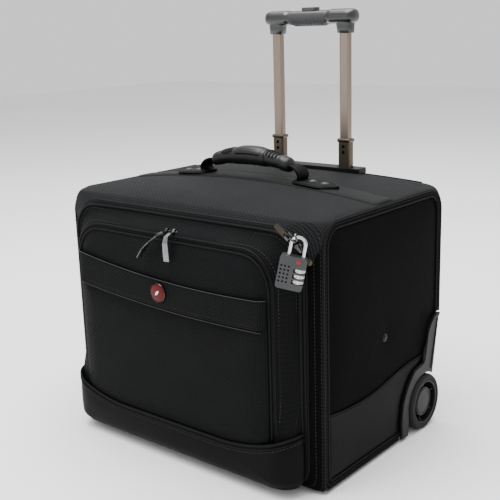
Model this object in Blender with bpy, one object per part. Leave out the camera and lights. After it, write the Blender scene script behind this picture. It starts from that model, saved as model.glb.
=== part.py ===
"""Rolling laptop case: a soft-sided wheeled case with a telescopic handle, a zipped front door and a padlock.

Metres, +Z up, the ground at z = 0. The door faces -Y and the trolley handle stands at the back.
The parts are laid out around the middle of the case body. At the end the whole case is moved so that
the middle of its box stands over the origin.
"""

import math

import bmesh
import bpy
from mathutils import Matrix, Vector

MM = 0.001
GAP = 0.3 * MM

# Case body
HALF_WIDTH = 210 * MM
HALF_DEPTH = 137 * MM
BASE_Z = 4 * MM
TOP_Z = 330 * MM
CROWN = 15 * MM
CROWN_FALL = 0.47
EDGE_RADIUS = 30 * MM
SHELL_WALL = 3 * MM
PANEL_WALL = 4 * MM
FRAME_START = 110 * MM
FRONT_FACE = -146 * MM
BASE_REAR = 85.5 * MM
WELL_MARGIN = 0.4 * MM
SKID_START = (86 * MM, BASE_Z)
SKID_SLOPE = 54 / 64.5
SKID_THICKNESS = 3.9 * MM
SKID_HALF_WIDTH = 184 * MM
INNER_WALL_HALF = 203 * MM
FOOT_PLACE = (168 * MM, -95 * MM)
FOOT_RADII = (11 * MM, 12 * MM)
RIVET_PLACE = (-6 * MM, 160 * MM)
# Half of the side rivet's outline, (radius, height) in millimetres.
RIVET_DOME = [(0, 0), (6, 0), (5.4, 1.4), (3, 2.6), (0, 3)]
CORNER_STEPS = 6
TOP_STEPS = 8

# Door and front pocket
DOOR_HALF_WIDTH = 191 * MM
DOOR_BOTTOM = 10 * MM
DOOR_TOP = 320 * MM
DOOR_TOP_RADIUS = 42 * MM
DOOR_BOTTOM_RADIUS = 27 * MM
DOOR_BACK = -146.4 * MM
DOOR_FRONT = -152 * MM
POCKET_HALF_WIDTH = 162 * MM
POCKET_TOP = 293 * MM
POCKET_RADIUS = 40 * MM
POCKET_FLARE = 5 * MM
POCKET_BACK = -172 * MM
POCKET_FRONT = -179 * MM
GUSSET_BOTTOM = 20 * MM
SLIP_TOP = 246 * MM
SLIP_FRONT = -182.3 * MM
BADGE_X = -5 * MM
BADGE_Z = 227 * MM
BADGE_RADIUS = 12.5 * MM
BAND_FRONT = -180 * MM
BAND_WALL = 3.5 * MM
BAND_TOP = 54 * MM
BAND_RISE = 26 * MM
BAND_FLAT = 80 * MM
BAND_STRAIGHT = 158 * MM

# Wheels and their housings
WHEEL_Y = 95 * MM
WHEEL_RADIUS = 38.5 * MM
WHEEL_INNER_X = 194.5 * MM
WHEEL_OUTER_X = 216.5 * MM
TYRE_INNER_RADIUS = 31 * MM
TYRE_SHOULDER = 3 * MM
BEARING_RADIUS = 9.1 * MM
AXLE_RADIUS = 4 * MM
ARCH_RADIUS = 41.5 * MM
ARCH_WALL = 3 * MM
HOUSING_INNER_X = 185 * MM
HOUSING_OUTER_X = 213.3 * MM
AXLE_SPAN = (180 * MM, 211 * MM)
AXLE_HEAD_RADIUS = 7 * MM
BEARING_SPAN = (197 * MM, 208 * MM)
WHEEL_STEPS = 32
# Half of the hub's outline, (radius, distance from the case's middle) in millimetres, around the bearing.
HUB_OUTLINE = [(0, 215.5), (12, 215.5), (13, 208), (28, 208), (29, 215)]
HUB_OUTLINE += [(30.7, 215), (30.7, 196), (9.4, 196), (9.4, 212), (0, 212)]
# Outlines in the side view, (y, z) in millimetres: the fin at the rear corner, and the flange before it.
FIN_OUTLINE = [(131.5, 150), (136.4, 155.6), (120, 156), (104, 141), (97, 116), (91, 96)]
FLANGE_OUTLINE = [(68, 92), (49, 74), (38, 54), (34, 27), (37, 4)]
FIN_BACK_OUTLINE = [(114, 75.5), (117.2, 73.8), (131.5, 150), (136.4, 155.6), (132, 156), (128, 152)]

# Telescopic handle
TUBE_X = 58.5 * MM
TUBE_Y = 138 * MM
TUBE_WALL = 1 * MM
OUTER_TUBE = (22 * MM, 16 * MM)
MIDDLE_TUBE = (19 * MM, 13 * MM)
INNER_TUBE = (16 * MM, 10 * MM)
OUTER_TUBE_SPAN = (76 * MM, 343 * MM)
MIDDLE_TUBE_SPAN = (128 * MM, 383 * MM)
INNER_TUBE_SPAN = (265 * MM, 535 * MM)
COVER_BACK = 150 * MM
COVER_BASE_X = 100 * MM
COVER_TOP_X = 86 * MM
BEZEL_Y = (126 * MM, 151 * MM)
BEZEL_Z = (336 * MM, 344 * MM)
TUBE_FOOT_LOW = (-78 * MM, 128.5 * MM, 66 * MM)
TUBE_FOOT_HIGH = (78 * MM, 146.5 * MM, OUTER_TUBE_SPAN[0] - GAP)
GRIP_HALF_WIDTH = 76 * MM
GRIP_Z = 552.5 * MM
GRIP_HALF_HEIGHT = 10.5 * MM
GRIP_HALF_DEPTH = 13 * MM
COLLAR_BOTTOM = 530 * MM
COLLAR_HALF = (12 * MM, 9 * MM)
SLEEVE_HALF_WIDTH = 33 * MM
SLEEVE_WALL = 2.2 * MM
BUTTON_HALF = (14 * MM, 6 * MM)
BUTTON_SPAN = (561.5 * MM, 566 * MM)
BUTTON_WELL_FLOOR = 557 * MM
BUTTON_CLEARANCE = 0.5 * MM
# The grip's rings from its end to its sleeve, in millimetres: distance from the end, half depth, half height.
GRIP_END_RINGS = ((0, 8, 6), (4, 12, 9.5), (12, 13, 10.5))

# Carry handle
BAND_Y = (-20 * MM, 21 * MM)
BAND_THICKNESS = 2 * MM
CARRY_HALF_LENGTH = 66 * MM
CARRY_Z = 374 * MM
CARRY_SAG = 9 * MM
CARRY_PIVOT_Z = 351.5 * MM
# Strap and anchor rings in millimetres. Strap: x, z, half height, half depth. Anchor: x, half depth.
STRAP_RINGS = ((66.4, 365, 8.5, 10), (72, 364, 7.5, 10.5), (79, 361, 4.5, 10), (84, 357, 2.5, 9),
               (85.5, 354.4, 1, 7))
ANCHOR_RINGS = ((76, 14), (79, 17), (90, 18.2), (108, 19), (120, 18.6), (128, 13), (139, 3))
ANCHOR_THICKNESS = 2.6 * MM
ANCHOR_RIVETS = (99 * MM, 118 * MM)

# Main zip corner and padlock
ZIP_CENTRE = Vector((149 * MM, 0, 278 * MM))
LOCK_CENTRE = Vector((190.5 * MM, -169 * MM, 280.2 * MM))
LOCK_TURN = math.radians(30)
LOCK_LEAN = math.radians(12)
LOCK_HALF = (15 * MM, 19 * MM, 6 * MM)
SHACKLE_RADIUS = 8 * MM
SHACKLE_ROD = 2.1 * MM
SHACKLE_CENTRE_U = 1.5 * MM
SHACKLE_RISE = 21 * MM
DIAL_U = 8.7 * MM
DIAL_V = (3.9 * MM, -2.5 * MM, -8.9 * MM)
DIAL_RADIUS = 6.3 * MM
DIAL_HALF_HEIGHT = 2 * MM
SOCKET_DEPTH = 9 * MM
SOCKET_OVERSHOOT = 5 * MM
PLUG_U = -7 * MM
PLUG_RADIUS = 3.2 * MM
PLUG_LENGTH = 7 * MM
KEYWAY_RADIUS = 3.6 * MM
EYELET_RADII = (3.1 * MM, 5 * MM)
EYELET_HALF = 0.9 * MM
PULLER_LENGTH = 22 * MM

# Zip slider's bridge in its side view, and the height of the bar that the puller turns on, in millimetres.
BRIDGE_OUTLINE = [(-4, 2.5), (-2.2, 2.5), (-2.2, 6), (2.2, 6), (2.2, 2.5)]
BRIDGE_OUTLINE += [(4, 2.5), (4, 6.4), (2.8, 7.6), (-2.8, 7.6), (-4, 6.4)]
PULLER_BAR_HEIGHT = 4.5 * MM
BRIDGE_EYE_HEIGHT = 6.8 * MM

# Each pocket puller's path from its eye, in millimetres, and the direction and half width of its tab there.
PULLER_DRAPES = {
    "left": (
        [(0, -2.6, -0.6), (-1, -9, -1), (-5, -16.5, -4),
         (-13, -20.5, -12), (-22, -22, -22), (-30, -22.5, -33)],
        [(1, 0, 0, 1.5), (1, -0.2, 0, 2.2), (1, -0.8, 0, 3),
         (0.4, -1, 0, 4), (0, -1, 0, 4.2), (0, -1, 0, 4.2)],
    ),
    "right": (
        [(0, -2.6, -0.6), (0, -9, -0.8), (0.6, -16, -3.5),
         (1.4, -19, -11), (2.2, -19.4, -22), (3, -19.4, -33)],
        [(1, 0, 0, 1.5), (1, 0, 0, 2.2), (1, 0, 0, 3), (1, 0, 0, 4.2), (1, 0, 0, 4.6), (1, 0, 0, 4.6)],
    ),
}

SIDES = (("left", -1), ("right", 1))
bodies = {}
pivots = {}
nodes = []


# ---------------------------------------------------------------- outlines

def arc(centre, radius, start, end, steps):
    """Points of an arc in a plane, from one angle in degrees to another."""
    points = []
    for step in range(steps + 1):
        angle = math.radians(start + (end - start) * step / steps)
        points.append((centre[0] + radius * math.cos(angle), centre[1] + radius * math.sin(angle)))
    return points


def scaled(outline):
    """Millimetres to metres, for an outline."""
    return [tuple(value * MM for value in point) for point in outline]


def rounded_rectangle(low, high, radii, steps=CORNER_STEPS):
    """An outline with a radius for each corner: low-left, low-right, high-right, high-left."""
    corners = (
        ((low[0], low[1]), (1, 1), 180),
        ((high[0], low[1]), (-1, 1), 270),
        ((high[0], high[1]), (-1, -1), 0),
        ((low[0], high[1]), (1, -1), 90),
    )
    points = []
    for (corner, inward, start), radius in zip(corners, radii):
        centre = (corner[0] + inward[0] * radius, corner[1] + inward[1] * radius)
        points += arc(centre, radius, start, start + 90, steps)
    return points


def band_top(x):
    """Height of the kick band's top edge, which is level in the middle and climbs to both sides."""
    beyond = max(0.0, abs(x) - BAND_FLAT) / (DOOR_HALF_WIDTH - BAND_FLAT)
    return BAND_TOP + BAND_RISE * beyond * beyond


def crown(x, y):
    """How far the padded top stands over its edges."""
    along = 1 - CROWN_FALL * (y / HALF_DEPTH) ** 2
    return CROWN * max(0.0, 1 - (x / HALF_WIDTH) ** 2) * along


def body_section(y, half_width, bottom, top, top_radius, bottom_radius, crowned):
    """The body's outline across its width at one depth, with a constant number of points."""
    points = arc((-half_width + bottom_radius, bottom + bottom_radius), bottom_radius, 180, 270, CORNER_STEPS)
    points += arc((half_width - bottom_radius, bottom + bottom_radius), bottom_radius, 270, 360, CORNER_STEPS)
    points += arc((half_width - top_radius, top - top_radius), top_radius, 0, 90, CORNER_STEPS)
    reach = half_width - top_radius
    for step in range(1, TOP_STEPS):
        points.append((reach - 2 * reach * step / TOP_STEPS, top))
    points += arc((-half_width + top_radius, top - top_radius), top_radius, 90, 180, CORNER_STEPS)
    ring = []
    for x, z in points:
        share = max(0.0, (z - 0.6 * top) / (0.4 * top)) * crowned
        ring.append(Vector((x, y, z + crown(x, y) * share)))
    return ring


# ---------------------------------------------------------------- solids

def mesh_object(name, vertices, faces):
    mesh = bpy.data.meshes.new(name)
    mesh.from_pydata([tuple(point) for point in vertices], [], faces)
    work = bmesh.new()
    work.from_mesh(mesh)
    bmesh.ops.remove_doubles(work, verts=work.verts, dist=1e-7)
    bmesh.ops.dissolve_degenerate(work, edges=work.edges, dist=1e-7)
    bmesh.ops.recalc_face_normals(work, faces=work.faces)
    work.to_mesh(mesh)
    work.free()
    made = bpy.data.objects.new(name, mesh)
    bpy.context.scene.collection.objects.link(made)
    return made


def loft(rings, closed=False):
    """A solid through rings of equal length. It has caps, unless the last ring meets the first one."""
    size = len(rings[0])
    vertices = [point for ring in rings for point in ring]
    faces = []
    spans = len(rings) if closed else len(rings) - 1
    for span in range(spans):
        here = span * size
        there = (span + 1) % len(rings) * size
        for side in range(size):
            after = (side + 1) % size
            faces.append((here + side, here + after, there + after, there + side))
    if not closed:
        faces.append(tuple(range(size)))
        faces.append(tuple(range(len(vertices) - size, len(vertices))))
    return mesh_object("solid", vertices, faces)


def prism(outline, axis, low, high):
    """A flat outline pushed along an axis. The outline's two numbers are the other axes, in X, Y, Z order."""
    def place(point, along):
        values = {"X": (along, *point), "Y": (point[0], along, point[1]), "Z": (*point, along)}
        return Vector(values[axis])

    return loft([[place(point, low) for point in outline], [place(point, high) for point in outline]])


def block(low, high):
    outline = [(low[0], low[1]), (high[0], low[1]), (high[0], high[1]), (low[0], high[1])]
    return prism(outline, "Z", low[2], high[2])


def revolve(profile, matrix, steps):
    """A turned solid: the profile holds (radius, height) around the matrix's Z axis."""
    rings = []
    for step in range(steps):
        angle = 2 * math.pi * step / steps
        ring = [matrix @ Vector((r * math.cos(angle), r * math.sin(angle), h)) for r, h in profile]
        rings.append(ring)
    return loft(rings, closed=True)


def rod(start, end, radius, steps=12, end_radius=None):
    """A straight round bar, which may taper."""
    start, end = Vector(start), Vector(end)
    turn = (end - start).to_track_quat("Z", "Y").to_matrix().to_4x4()
    matrix = Matrix.Translation(start) @ turn
    far = radius if end_radius is None else end_radius
    profile = [(0, 0), (radius, 0), (far, (end - start).length), (0, (end - start).length)]
    return revolve(profile, matrix, steps)


def swept_rod(points, radius, steps=10):
    """A round bar along points, with its ends square to the path."""
    rings = []
    for index, point in enumerate(points):
        before = points[max(index - 1, 0)]
        after = points[min(index + 1, len(points) - 1)]
        along = (after - before).normalized()
        side = along.cross(Vector((0.5, -0.86, 0))).normalized()
        up = along.cross(side)
        ring = []
        for step in range(steps):
            angle = 2 * math.pi * step / steps
            ring.append(point + radius * (math.cos(angle) * side + math.sin(angle) * up))
        rings.append(ring)
    return loft(rings)


def combine(base, tool, operation):
    """Adds the tool to the base, or cuts it away, and removes the tool."""
    modifier = base.modifiers.new("combine", "BOOLEAN")
    modifier.operation = operation
    modifier.solver = "EXACT"
    modifier.object = tool
    bpy.context.view_layer.update()
    graph = bpy.context.evaluated_depsgraph_get()
    result = bpy.data.meshes.new_from_object(base.evaluated_get(graph))
    base.modifiers.clear()
    base.data = result
    bpy.data.objects.remove(tool)
    return base


def fuse(base, *others):
    for other in others:
        combine(base, other, "UNION")
    return base


def cut(base, *tools):
    for tool in tools:
        combine(base, tool, "DIFFERENCE")
    return base


def moved(solid, matrix):
    solid.data.transform(matrix)
    return solid


# ---------------------------------------------------------------- bodies, materials and nodes

def add_body(name, pivot, parent=None):
    """An empty on the joint's axis, which carries the pieces that move together."""
    empty = bpy.data.objects.new("body_" + name, None)
    empty.empty_display_size = 0.02
    bpy.context.scene.collection.objects.link(empty)
    pivots[name] = Vector(pivot)
    bodies[name] = empty
    if parent:
        empty.parent = bodies[parent]
        empty.location = pivots[name] - pivots[parent]
    else:
        empty.location = pivots[name]


def add_material(name, colour, roughness, metallic=0.0):
    made = bpy.data.materials.new(name)
    made.use_nodes = True
    shader = made.node_tree.nodes["Principled BSDF"]
    shader.inputs["Base Color"].default_value = (*colour, 1)
    shader.inputs["Roughness"].default_value = roughness
    shader.inputs["Metallic"].default_value = metallic
    made.diffuse_color = (*colour, 1)


def add_node(name, solid, look, body, smooth=False):
    """Names a solid, gives it its own copy of a look and hangs it on its body."""
    solid.name = name
    solid.data.name = name
    own = bpy.data.materials[look].copy()
    own.name = name + "_" + look
    solid.data.materials.clear()
    solid.data.materials.append(own)
    if smooth:
        solid.data.shade_smooth()
        solid.data.set_sharp_from_angle(angle=math.radians(35))
    solid.parent = bodies[body]
    solid.location = -pivots[body]
    nodes.append(solid)


def clear_scene():
    for item in list(bpy.data.objects):
        bpy.data.objects.remove(item)


def add_materials():
    add_material("nylon", (0.018, 0.018, 0.020), 0.85)
    add_material("leatherette", (0.022, 0.022, 0.023), 0.5)
    add_material("black_plastic", (0.015, 0.015, 0.016), 0.45)
    add_material("lining", (0.10, 0.10, 0.11), 0.9)
    add_material("grey_rubber", (0.035, 0.035, 0.037), 0.75)
    add_material("grip_plastic", (0.020, 0.020, 0.021), 0.4)
    add_material("champagne", (0.42, 0.36, 0.31), 0.35, 1.0)
    add_material("steel", (0.55, 0.55, 0.56), 0.3, 1.0)
    add_material("gunmetal", (0.20, 0.18, 0.16), 0.35, 1.0)
    add_material("chrome", (0.80, 0.80, 0.82), 0.08, 1.0)
    add_material("lock_grey", (0.16, 0.17, 0.18), 0.4, 0.6)
    add_material("dial_white", (0.85, 0.85, 0.83), 0.4)
    add_material("badge_red", (0.55, 0.01, 0.02), 0.25)


# ---------------------------------------------------------------- case body

def corner_fall(y):
    """The top corner's radius grows towards the front and the back, which rounds the side panel's corners."""
    over = max(0.0, abs(y) - (HALF_DEPTH - EDGE_RADIUS))
    return max(2 * MM, EDGE_RADIUS - math.sqrt(max(0.0, EDGE_RADIUS**2 - over * over)))


def shell_section(y, inset=0.0):
    radius = max(1 * MM, corner_fall(y) - inset)
    return body_section(y, HALF_WIDTH - inset, BASE_Z + inset, TOP_Z - inset, radius, 3 * MM, 1)


def wheel_well(low_x, high_x, extra):
    """The space of a wheel and its housing, cut from the panels around it."""
    centre = (WHEEL_Y, WHEEL_RADIUS)
    outline = [(WHEEL_Y - ARCH_RADIUS - ARCH_WALL - extra, -20 * MM)]
    outline += arc(centre, ARCH_RADIUS + ARCH_WALL + extra, 195, 67, 14)
    outline += [(127.3 * MM, 156.5 * MM), (170 * MM, 156.5 * MM), (170 * MM, -20 * MM)]
    return prism(outline, "X", low_x, high_x)


def cut_wheel_wells(solid, inner_x):
    for _, sign in SIDES:
        ends = sorted((sign * inner_x, sign * 230 * MM))
        cut(solid, wheel_well(ends[0], ends[1], WELL_MARGIN))
    return solid


def skid_line(y):
    """Underside of the slanted skid plate, from the base up to the back cover."""
    return SKID_START[1] + (y - SKID_START[0]) * SKID_SLOPE


def make_panels():
    flat = FRAME_START - GAP
    reach = HALF_WIDTH - PANEL_WALL - GAP
    # Padded top: flat underneath, crowned above.
    rings = []
    for step in range(TOP_STEPS + 1):
        y = -flat + 2 * flat * step / TOP_STEPS
        ring = []
        for across in range(TOP_STEPS + 1):
            x = -reach + 2 * reach * across / TOP_STEPS
            ring.append(Vector((x, y, TOP_Z + crown(x, y))))
        ring.append(Vector((reach, y, TOP_Z - PANEL_WALL)))
        ring.append(Vector((-reach, y, TOP_Z - PANEL_WALL)))
        rings.append(ring)
    add_node("top_panel", loft(rings), "nylon", "case", True)

    base = block((-reach, -flat, BASE_Z), (reach, BASE_REAR, BASE_Z + PANEL_WALL))
    add_node("base_panel", cut_wheel_wells(base, HOUSING_INNER_X - GAP), "leatherette", "case")

    for side, sign in SIDES:
        ends = sorted((sign * (HALF_WIDTH - PANEL_WALL), sign * HALF_WIDTH))
        outline = [(-flat, BASE_Z), (flat, BASE_Z), (flat, TOP_Z), (-flat, TOP_Z)]
        panel = prism(outline, "X", ends[0], ends[1])
        cut(panel, wheel_well(ends[0] - 5 * MM, ends[1] + 5 * MM, WELL_MARGIN))
        add_node("side_panel_" + side, panel, "nylon", "case")


def make_front_frame():
    """The frame that carries the zip from the body's full outline in to the door's outline."""
    stations = (-FRAME_START, -120 * MM, -130 * MM, -135 * MM, -HALF_DEPTH)
    outer = [shell_section(y) for y in stations]
    inner = [shell_section(y, SHELL_WALL) for y in stations]
    half, low, high = DOOR_HALF_WIDTH + 1.5 * MM, DOOR_BOTTOM - 1 * MM, DOOR_TOP + 1.5 * MM
    radii = (DOOR_TOP_RADIUS + 1 * MM, DOOR_BOTTOM_RADIUS)
    outer.append(body_section(FRONT_FACE, half, low, high, *radii, 0))
    radii = [radius - SHELL_WALL for radius in radii]
    inner.append(body_section(FRONT_FACE, half - SHELL_WALL, low + SHELL_WALL, high - SHELL_WALL, *radii, 0))
    add_node("front_frame", loft(outer + inner[::-1], closed=True), "nylon", "case", True)


def make_top_band():
    """Leatherette band across the top, under the carry handle."""
    rings = []
    reach = HALF_WIDTH - 1 * MM
    for step in range(13):
        x = -reach + 2 * reach * step / 12
        low = TOP_Z + crown(x, 0) + GAP
        high = low + BAND_THICKNESS
        corners = ((BAND_Y[0], low), (BAND_Y[1], low), (BAND_Y[1], high), (BAND_Y[0], high))
        rings.append([Vector((x, y, z)) for y, z in corners])
    add_node("top_band", loft(rings), "leatherette", "case", True)


def make_feet_and_rivets():
    flat_radius, radius = FOOT_RADII
    profile = [(0, 0), (flat_radius, 0), (radius, 1 * MM), (radius, BASE_Z - GAP), (0, BASE_Z - GAP)]
    for side, sign in SIDES:
        foot = revolve(profile, Matrix.Translation((sign * FOOT_PLACE[0], FOOT_PLACE[1], 0)), 24)
        add_node("front_foot_" + side, foot, "grey_rubber", "case", True)
        turn = Matrix.Rotation(sign * math.radians(90), 4, "Y")
        place = Matrix.Translation((sign * (HALF_WIDTH + GAP), *RIVET_PLACE))
        rivet = revolve(scaled(RIVET_DOME), place @ turn, 16)
        add_node("side_rivet_" + side, rivet, "gunmetal", "case", True)


def make_back():
    stations = (FRAME_START, 120 * MM, 130 * MM, 135 * MM, HALF_DEPTH)
    outer = [shell_section(y) for y in stations]
    inner = [shell_section(y, SHELL_WALL) for y in stations[:-1]]
    pan = loft(inner[::-1] + outer)
    raised = [(-COVER_BASE_X, 130 * MM), (COVER_BASE_X, 130 * MM)]
    raised += [(COVER_TOP_X, COVER_BACK), (-COVER_TOP_X, COVER_BACK)]
    channel_x = COVER_TOP_X - SHELL_WALL
    margin = SKID_THICKNESS + WELL_MARGIN
    below = [(60 * MM, skid_line(60 * MM) + margin), (160 * MM, skid_line(160 * MM) + margin)]
    below += [(160 * MM, -30 * MM), (60 * MM, -30 * MM)]
    fuse(pan, prism(raised, "Z", 55 * MM, 340 * MM))
    # The tubes' channel, the bezel's seat and everything under the skid plate.
    cut(pan,
        block((-channel_x, 125 * MM, 40 * MM), (channel_x, COVER_BACK - SHELL_WALL, 360 * MM)),
        block((-COVER_TOP_X - GAP, 125 * MM, BEZEL_Z[0] - GAP), (COVER_TOP_X + GAP, 160 * MM, 360 * MM)),
        prism(below, "X", -220 * MM, 220 * MM))
    cut_wheel_wells(pan, HOUSING_INNER_X - GAP)
    add_node("back_cover", pan, "leatherette", "case", True)

    wall = block((-INNER_WALL_HALF, 120 * MM, 45 * MM), (INNER_WALL_HALF, 123 * MM, 322 * MM))
    add_node("inner_back_wall", cut_wheel_wells(wall, HOUSING_INNER_X - GAP), "lining", "case")

    front, rear = SKID_START[0], COVER_BACK
    skid = [(front, skid_line(front)), (rear, skid_line(rear))]
    skid += [(y, z + SKID_THICKNESS) for y, z in skid[::-1]]
    add_node("rear_skid_plate", prism(skid, "X", -SKID_HALF_WIDTH, SKID_HALF_WIDTH), "black_plastic", "case")

    outline = rounded_rectangle((-COVER_TOP_X, BEZEL_Y[0]), (COVER_TOP_X, BEZEL_Y[1]), (4 * MM,) * 4, 3)
    bezel = prism(outline, "Z", *BEZEL_Z)
    for _, sign in SIDES:
        cut(bezel, tube_bar(sign, OUTER_TUBE, 320 * MM, 360 * MM, GAP))
    add_node("handle_bezel", bezel, "black_plastic", "case")
    add_node("tube_foot_bracket", block(TUBE_FOOT_LOW, TUBE_FOOT_HIGH), "black_plastic", "case")


# ---------------------------------------------------------------- telescopic handle

def tube_bar(sign, size, low, high, extra=0.0):
    half_x, half_y = size[0] / 2 + extra, size[1] / 2 + extra
    centre = sign * TUBE_X
    low_corner, high_corner = (centre - half_x, TUBE_Y - half_y), (centre + half_x, TUBE_Y + half_y)
    return prism(rounded_rectangle(low_corner, high_corner, (3 * MM + extra,) * 4, 3), "Z", low, high)


def hollow_tube(sign, size, span):
    tube = tube_bar(sign, size, span[0], span[1])
    return cut(tube, tube_bar(sign, size, span[0] - 1 * MM, span[1] + 1 * MM, -TUBE_WALL))


def grip_section(x, half_depth, half_height, low=0.0, high=360.0, steps=20):
    ring = []
    for step in range(steps):
        angle = math.radians(low + (high - low) * step / steps)
        y, z = TUBE_Y + half_depth * math.cos(angle), GRIP_Z + half_height * math.sin(angle)
        ring.append(Vector((x, y, z)))
    return ring


def make_trolley():
    for side, sign in SIDES:
        for stage, body, size, span in (
            ("outer", "case", OUTER_TUBE, OUTER_TUBE_SPAN),
            ("middle", "middle_stage", MIDDLE_TUBE, MIDDLE_TUBE_SPAN),
            ("inner", "inner_stage", INNER_TUBE, INNER_TUBE_SPAN),
        ):
            add_node(f"{stage}_tube_{side}", hollow_tube(sign, size, span), "champagne", body, True)

    waist_depth, waist_height = GRIP_HALF_DEPTH - SLEEVE_WALL, GRIP_HALF_HEIGHT - SLEEVE_WALL
    half = [(-GRIP_HALF_WIDTH + x * MM, depth * MM, height * MM) for x, depth, height in GRIP_END_RINGS]
    half.append((-SLEEVE_HALF_WIDTH - 1 * MM, GRIP_HALF_DEPTH, GRIP_HALF_HEIGHT))
    half.append((-SLEEVE_HALF_WIDTH - 0.5 * MM, waist_depth, waist_height))
    other_half = [(-x, depth, height) for x, depth, height in half[::-1]]
    shell = loft([grip_section(x, depth, height) for x, depth, height in half + other_half])
    wide, deep = COLLAR_HALF
    for _, sign in SIDES:
        centre = sign * TUBE_X
        corners = (centre - wide, TUBE_Y - deep), (centre + wide, TUBE_Y + deep)
        outline = rounded_rectangle(*corners, (5 * MM,) * 4, 4)
        fuse(shell, prism(outline, "Z", COLLAR_BOTTOM, GRIP_Z))
        cut(shell, tube_bar(sign, INNER_TUBE, COLLAR_BOTTOM - 5 * MM, INNER_TUBE_SPAN[1] + GAP, GAP))
    wide, deep = BUTTON_HALF[0] + BUTTON_CLEARANCE, BUTTON_HALF[1] + BUTTON_CLEARANCE
    recess = rounded_rectangle((-wide, TUBE_Y - deep), (wide, TUBE_Y + deep), (6 * MM,) * 4, 4)
    cut(shell, prism(recess, "Z", BUTTON_WELL_FLOOR, BUTTON_WELL_FLOOR + 23 * MM))
    add_node("grip_shell", shell, "grip_plastic", "inner_stage", True)

    # The soft sleeve wraps the waist of the bar and leaves its top open for the button.
    rings = []
    for x in (-SLEEVE_HALF_WIDTH, SLEEVE_HALF_WIDTH):
        outer = grip_section(x, GRIP_HALF_DEPTH + 0.4 * MM, GRIP_HALF_HEIGHT + 1 * MM, 130, 410, 18)
        inner = grip_section(x, waist_depth + GAP, waist_height + GAP, 130, 410, 18)
        rings.append(outer + inner[::-1])
    add_node("grip_sleeve", loft(rings), "grey_rubber", "inner_stage", True)

    wide, deep = BUTTON_HALF
    outline = rounded_rectangle((-wide, TUBE_Y - deep), (wide, TUBE_Y + deep), (5.5 * MM,) * 4, 4)
    add_node("release_button", prism(outline, "Z", *BUTTON_SPAN), "grip_plastic", "release_button", True)


# ---------------------------------------------------------------- carry handle

def upright_ring(x, half_deep, low, high):
    """A rectangle across the depth at x."""
    return [Vector((x, -half_deep, low)), Vector((x, half_deep, low)),
            Vector((x, half_deep, high)), Vector((x, -half_deep, high))]


def make_carry_handle():
    rings = []
    for step in range(13):
        x = -CARRY_HALF_LENGTH + 2 * CARRY_HALF_LENGTH * step / 12
        share = (x / CARRY_HALF_LENGTH) ** 2
        height = CARRY_Z - CARRY_SAG * share
        half_high, half_deep = (12.5 - 3.5 * share) * MM, (13 - 2.5 * share) * MM
        ring = []
        for spoke in range(16):
            angle = 2 * math.pi * spoke / 16
            ring.append(Vector((x, half_deep * math.cos(angle), height + half_high * math.sin(angle))))
        rings.append(ring)
    add_node("carry_grip", loft(rings), "grip_plastic", "carry_handle", True)

    for side, sign in SIDES:
        rings = []
        for x, z, half_high, half_deep in scaled(STRAP_RINGS):
            rings.append(upright_ring(sign * x, half_deep, z - half_high, z + half_high))
        add_node("carry_strap_" + side, loft(rings), "leatherette", "carry_handle")

        rings = []
        for x, half_deep in scaled(ANCHOR_RINGS):
            low = TOP_Z + crown(x, 0) + BAND_THICKNESS + 2 * GAP
            rings.append(upright_ring(sign * x, half_deep, low, low + ANCHOR_THICKNESS))
        anchor = loft(rings)
        for x in ANCHOR_RIVETS:
            place = Vector((sign * x, 0, TOP_Z + crown(x, 0) + 3.5 * MM))
            fuse(anchor, rod(place, place + Vector((0, 0, 2.8 * MM)), 4 * MM, 12, 2.6 * MM))
        add_node("handle_anchor_" + side, anchor, "black_plastic", "case")


# ---------------------------------------------------------------- wheels

def wheel_axes(sign):
    """Z points outwards along the axle."""
    return Matrix.Translation((0, WHEEL_Y, WHEEL_RADIUS)) @ Matrix.Rotation(sign * math.radians(90), 4, "Y")


def make_wheels():
    for side, sign in SIDES:
        axes, body = wheel_axes(sign), "wheel_" + side
        tread, flank = WHEEL_RADIUS, WHEEL_RADIUS - TYRE_SHOULDER
        tyre = [(TYRE_INNER_RADIUS, WHEEL_INNER_X + 1 * MM), (flank, WHEEL_INNER_X)]
        tyre += [(tread, WHEEL_INNER_X + TYRE_SHOULDER), (tread, WHEEL_OUTER_X - TYRE_SHOULDER)]
        tyre += [(flank, WHEEL_OUTER_X), (TYRE_INNER_RADIUS, WHEEL_OUTER_X - 1 * MM)]
        add_node("tyre_" + side, revolve(tyre, axes, WHEEL_STEPS), "grey_rubber", body, True)
        add_node("hub_" + side, revolve(scaled(HUB_OUTLINE), axes, WHEEL_STEPS), "grey_rubber", body, True)
        bore = AXLE_RADIUS + 0.4 * MM
        bearing = [(bore, BEARING_SPAN[0]), (BEARING_RADIUS, BEARING_SPAN[0])]
        bearing += [(BEARING_RADIUS, BEARING_SPAN[1]), (bore, BEARING_SPAN[1])]
        add_node("bearing_" + side, revolve(bearing, axes, 24), "steel", body, True)
        shoulder = HOUSING_INNER_X - GAP
        axle = [(0, AXLE_SPAN[0]), (AXLE_HEAD_RADIUS, AXLE_SPAN[0]), (AXLE_HEAD_RADIUS, shoulder)]
        axle += [(AXLE_RADIUS, shoulder), (AXLE_RADIUS, AXLE_SPAN[1]), (0, AXLE_SPAN[1])]
        add_node("axle_" + side, revolve(axle, axes, 24), "steel", "case", True)


def side_plate(sign, outline, near, far):
    """A flat plate on one side of the case, between two distances from its middle."""
    ends = sorted((sign * near, sign * far))
    return prism(outline, "X", ends[0], ends[1])


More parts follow.
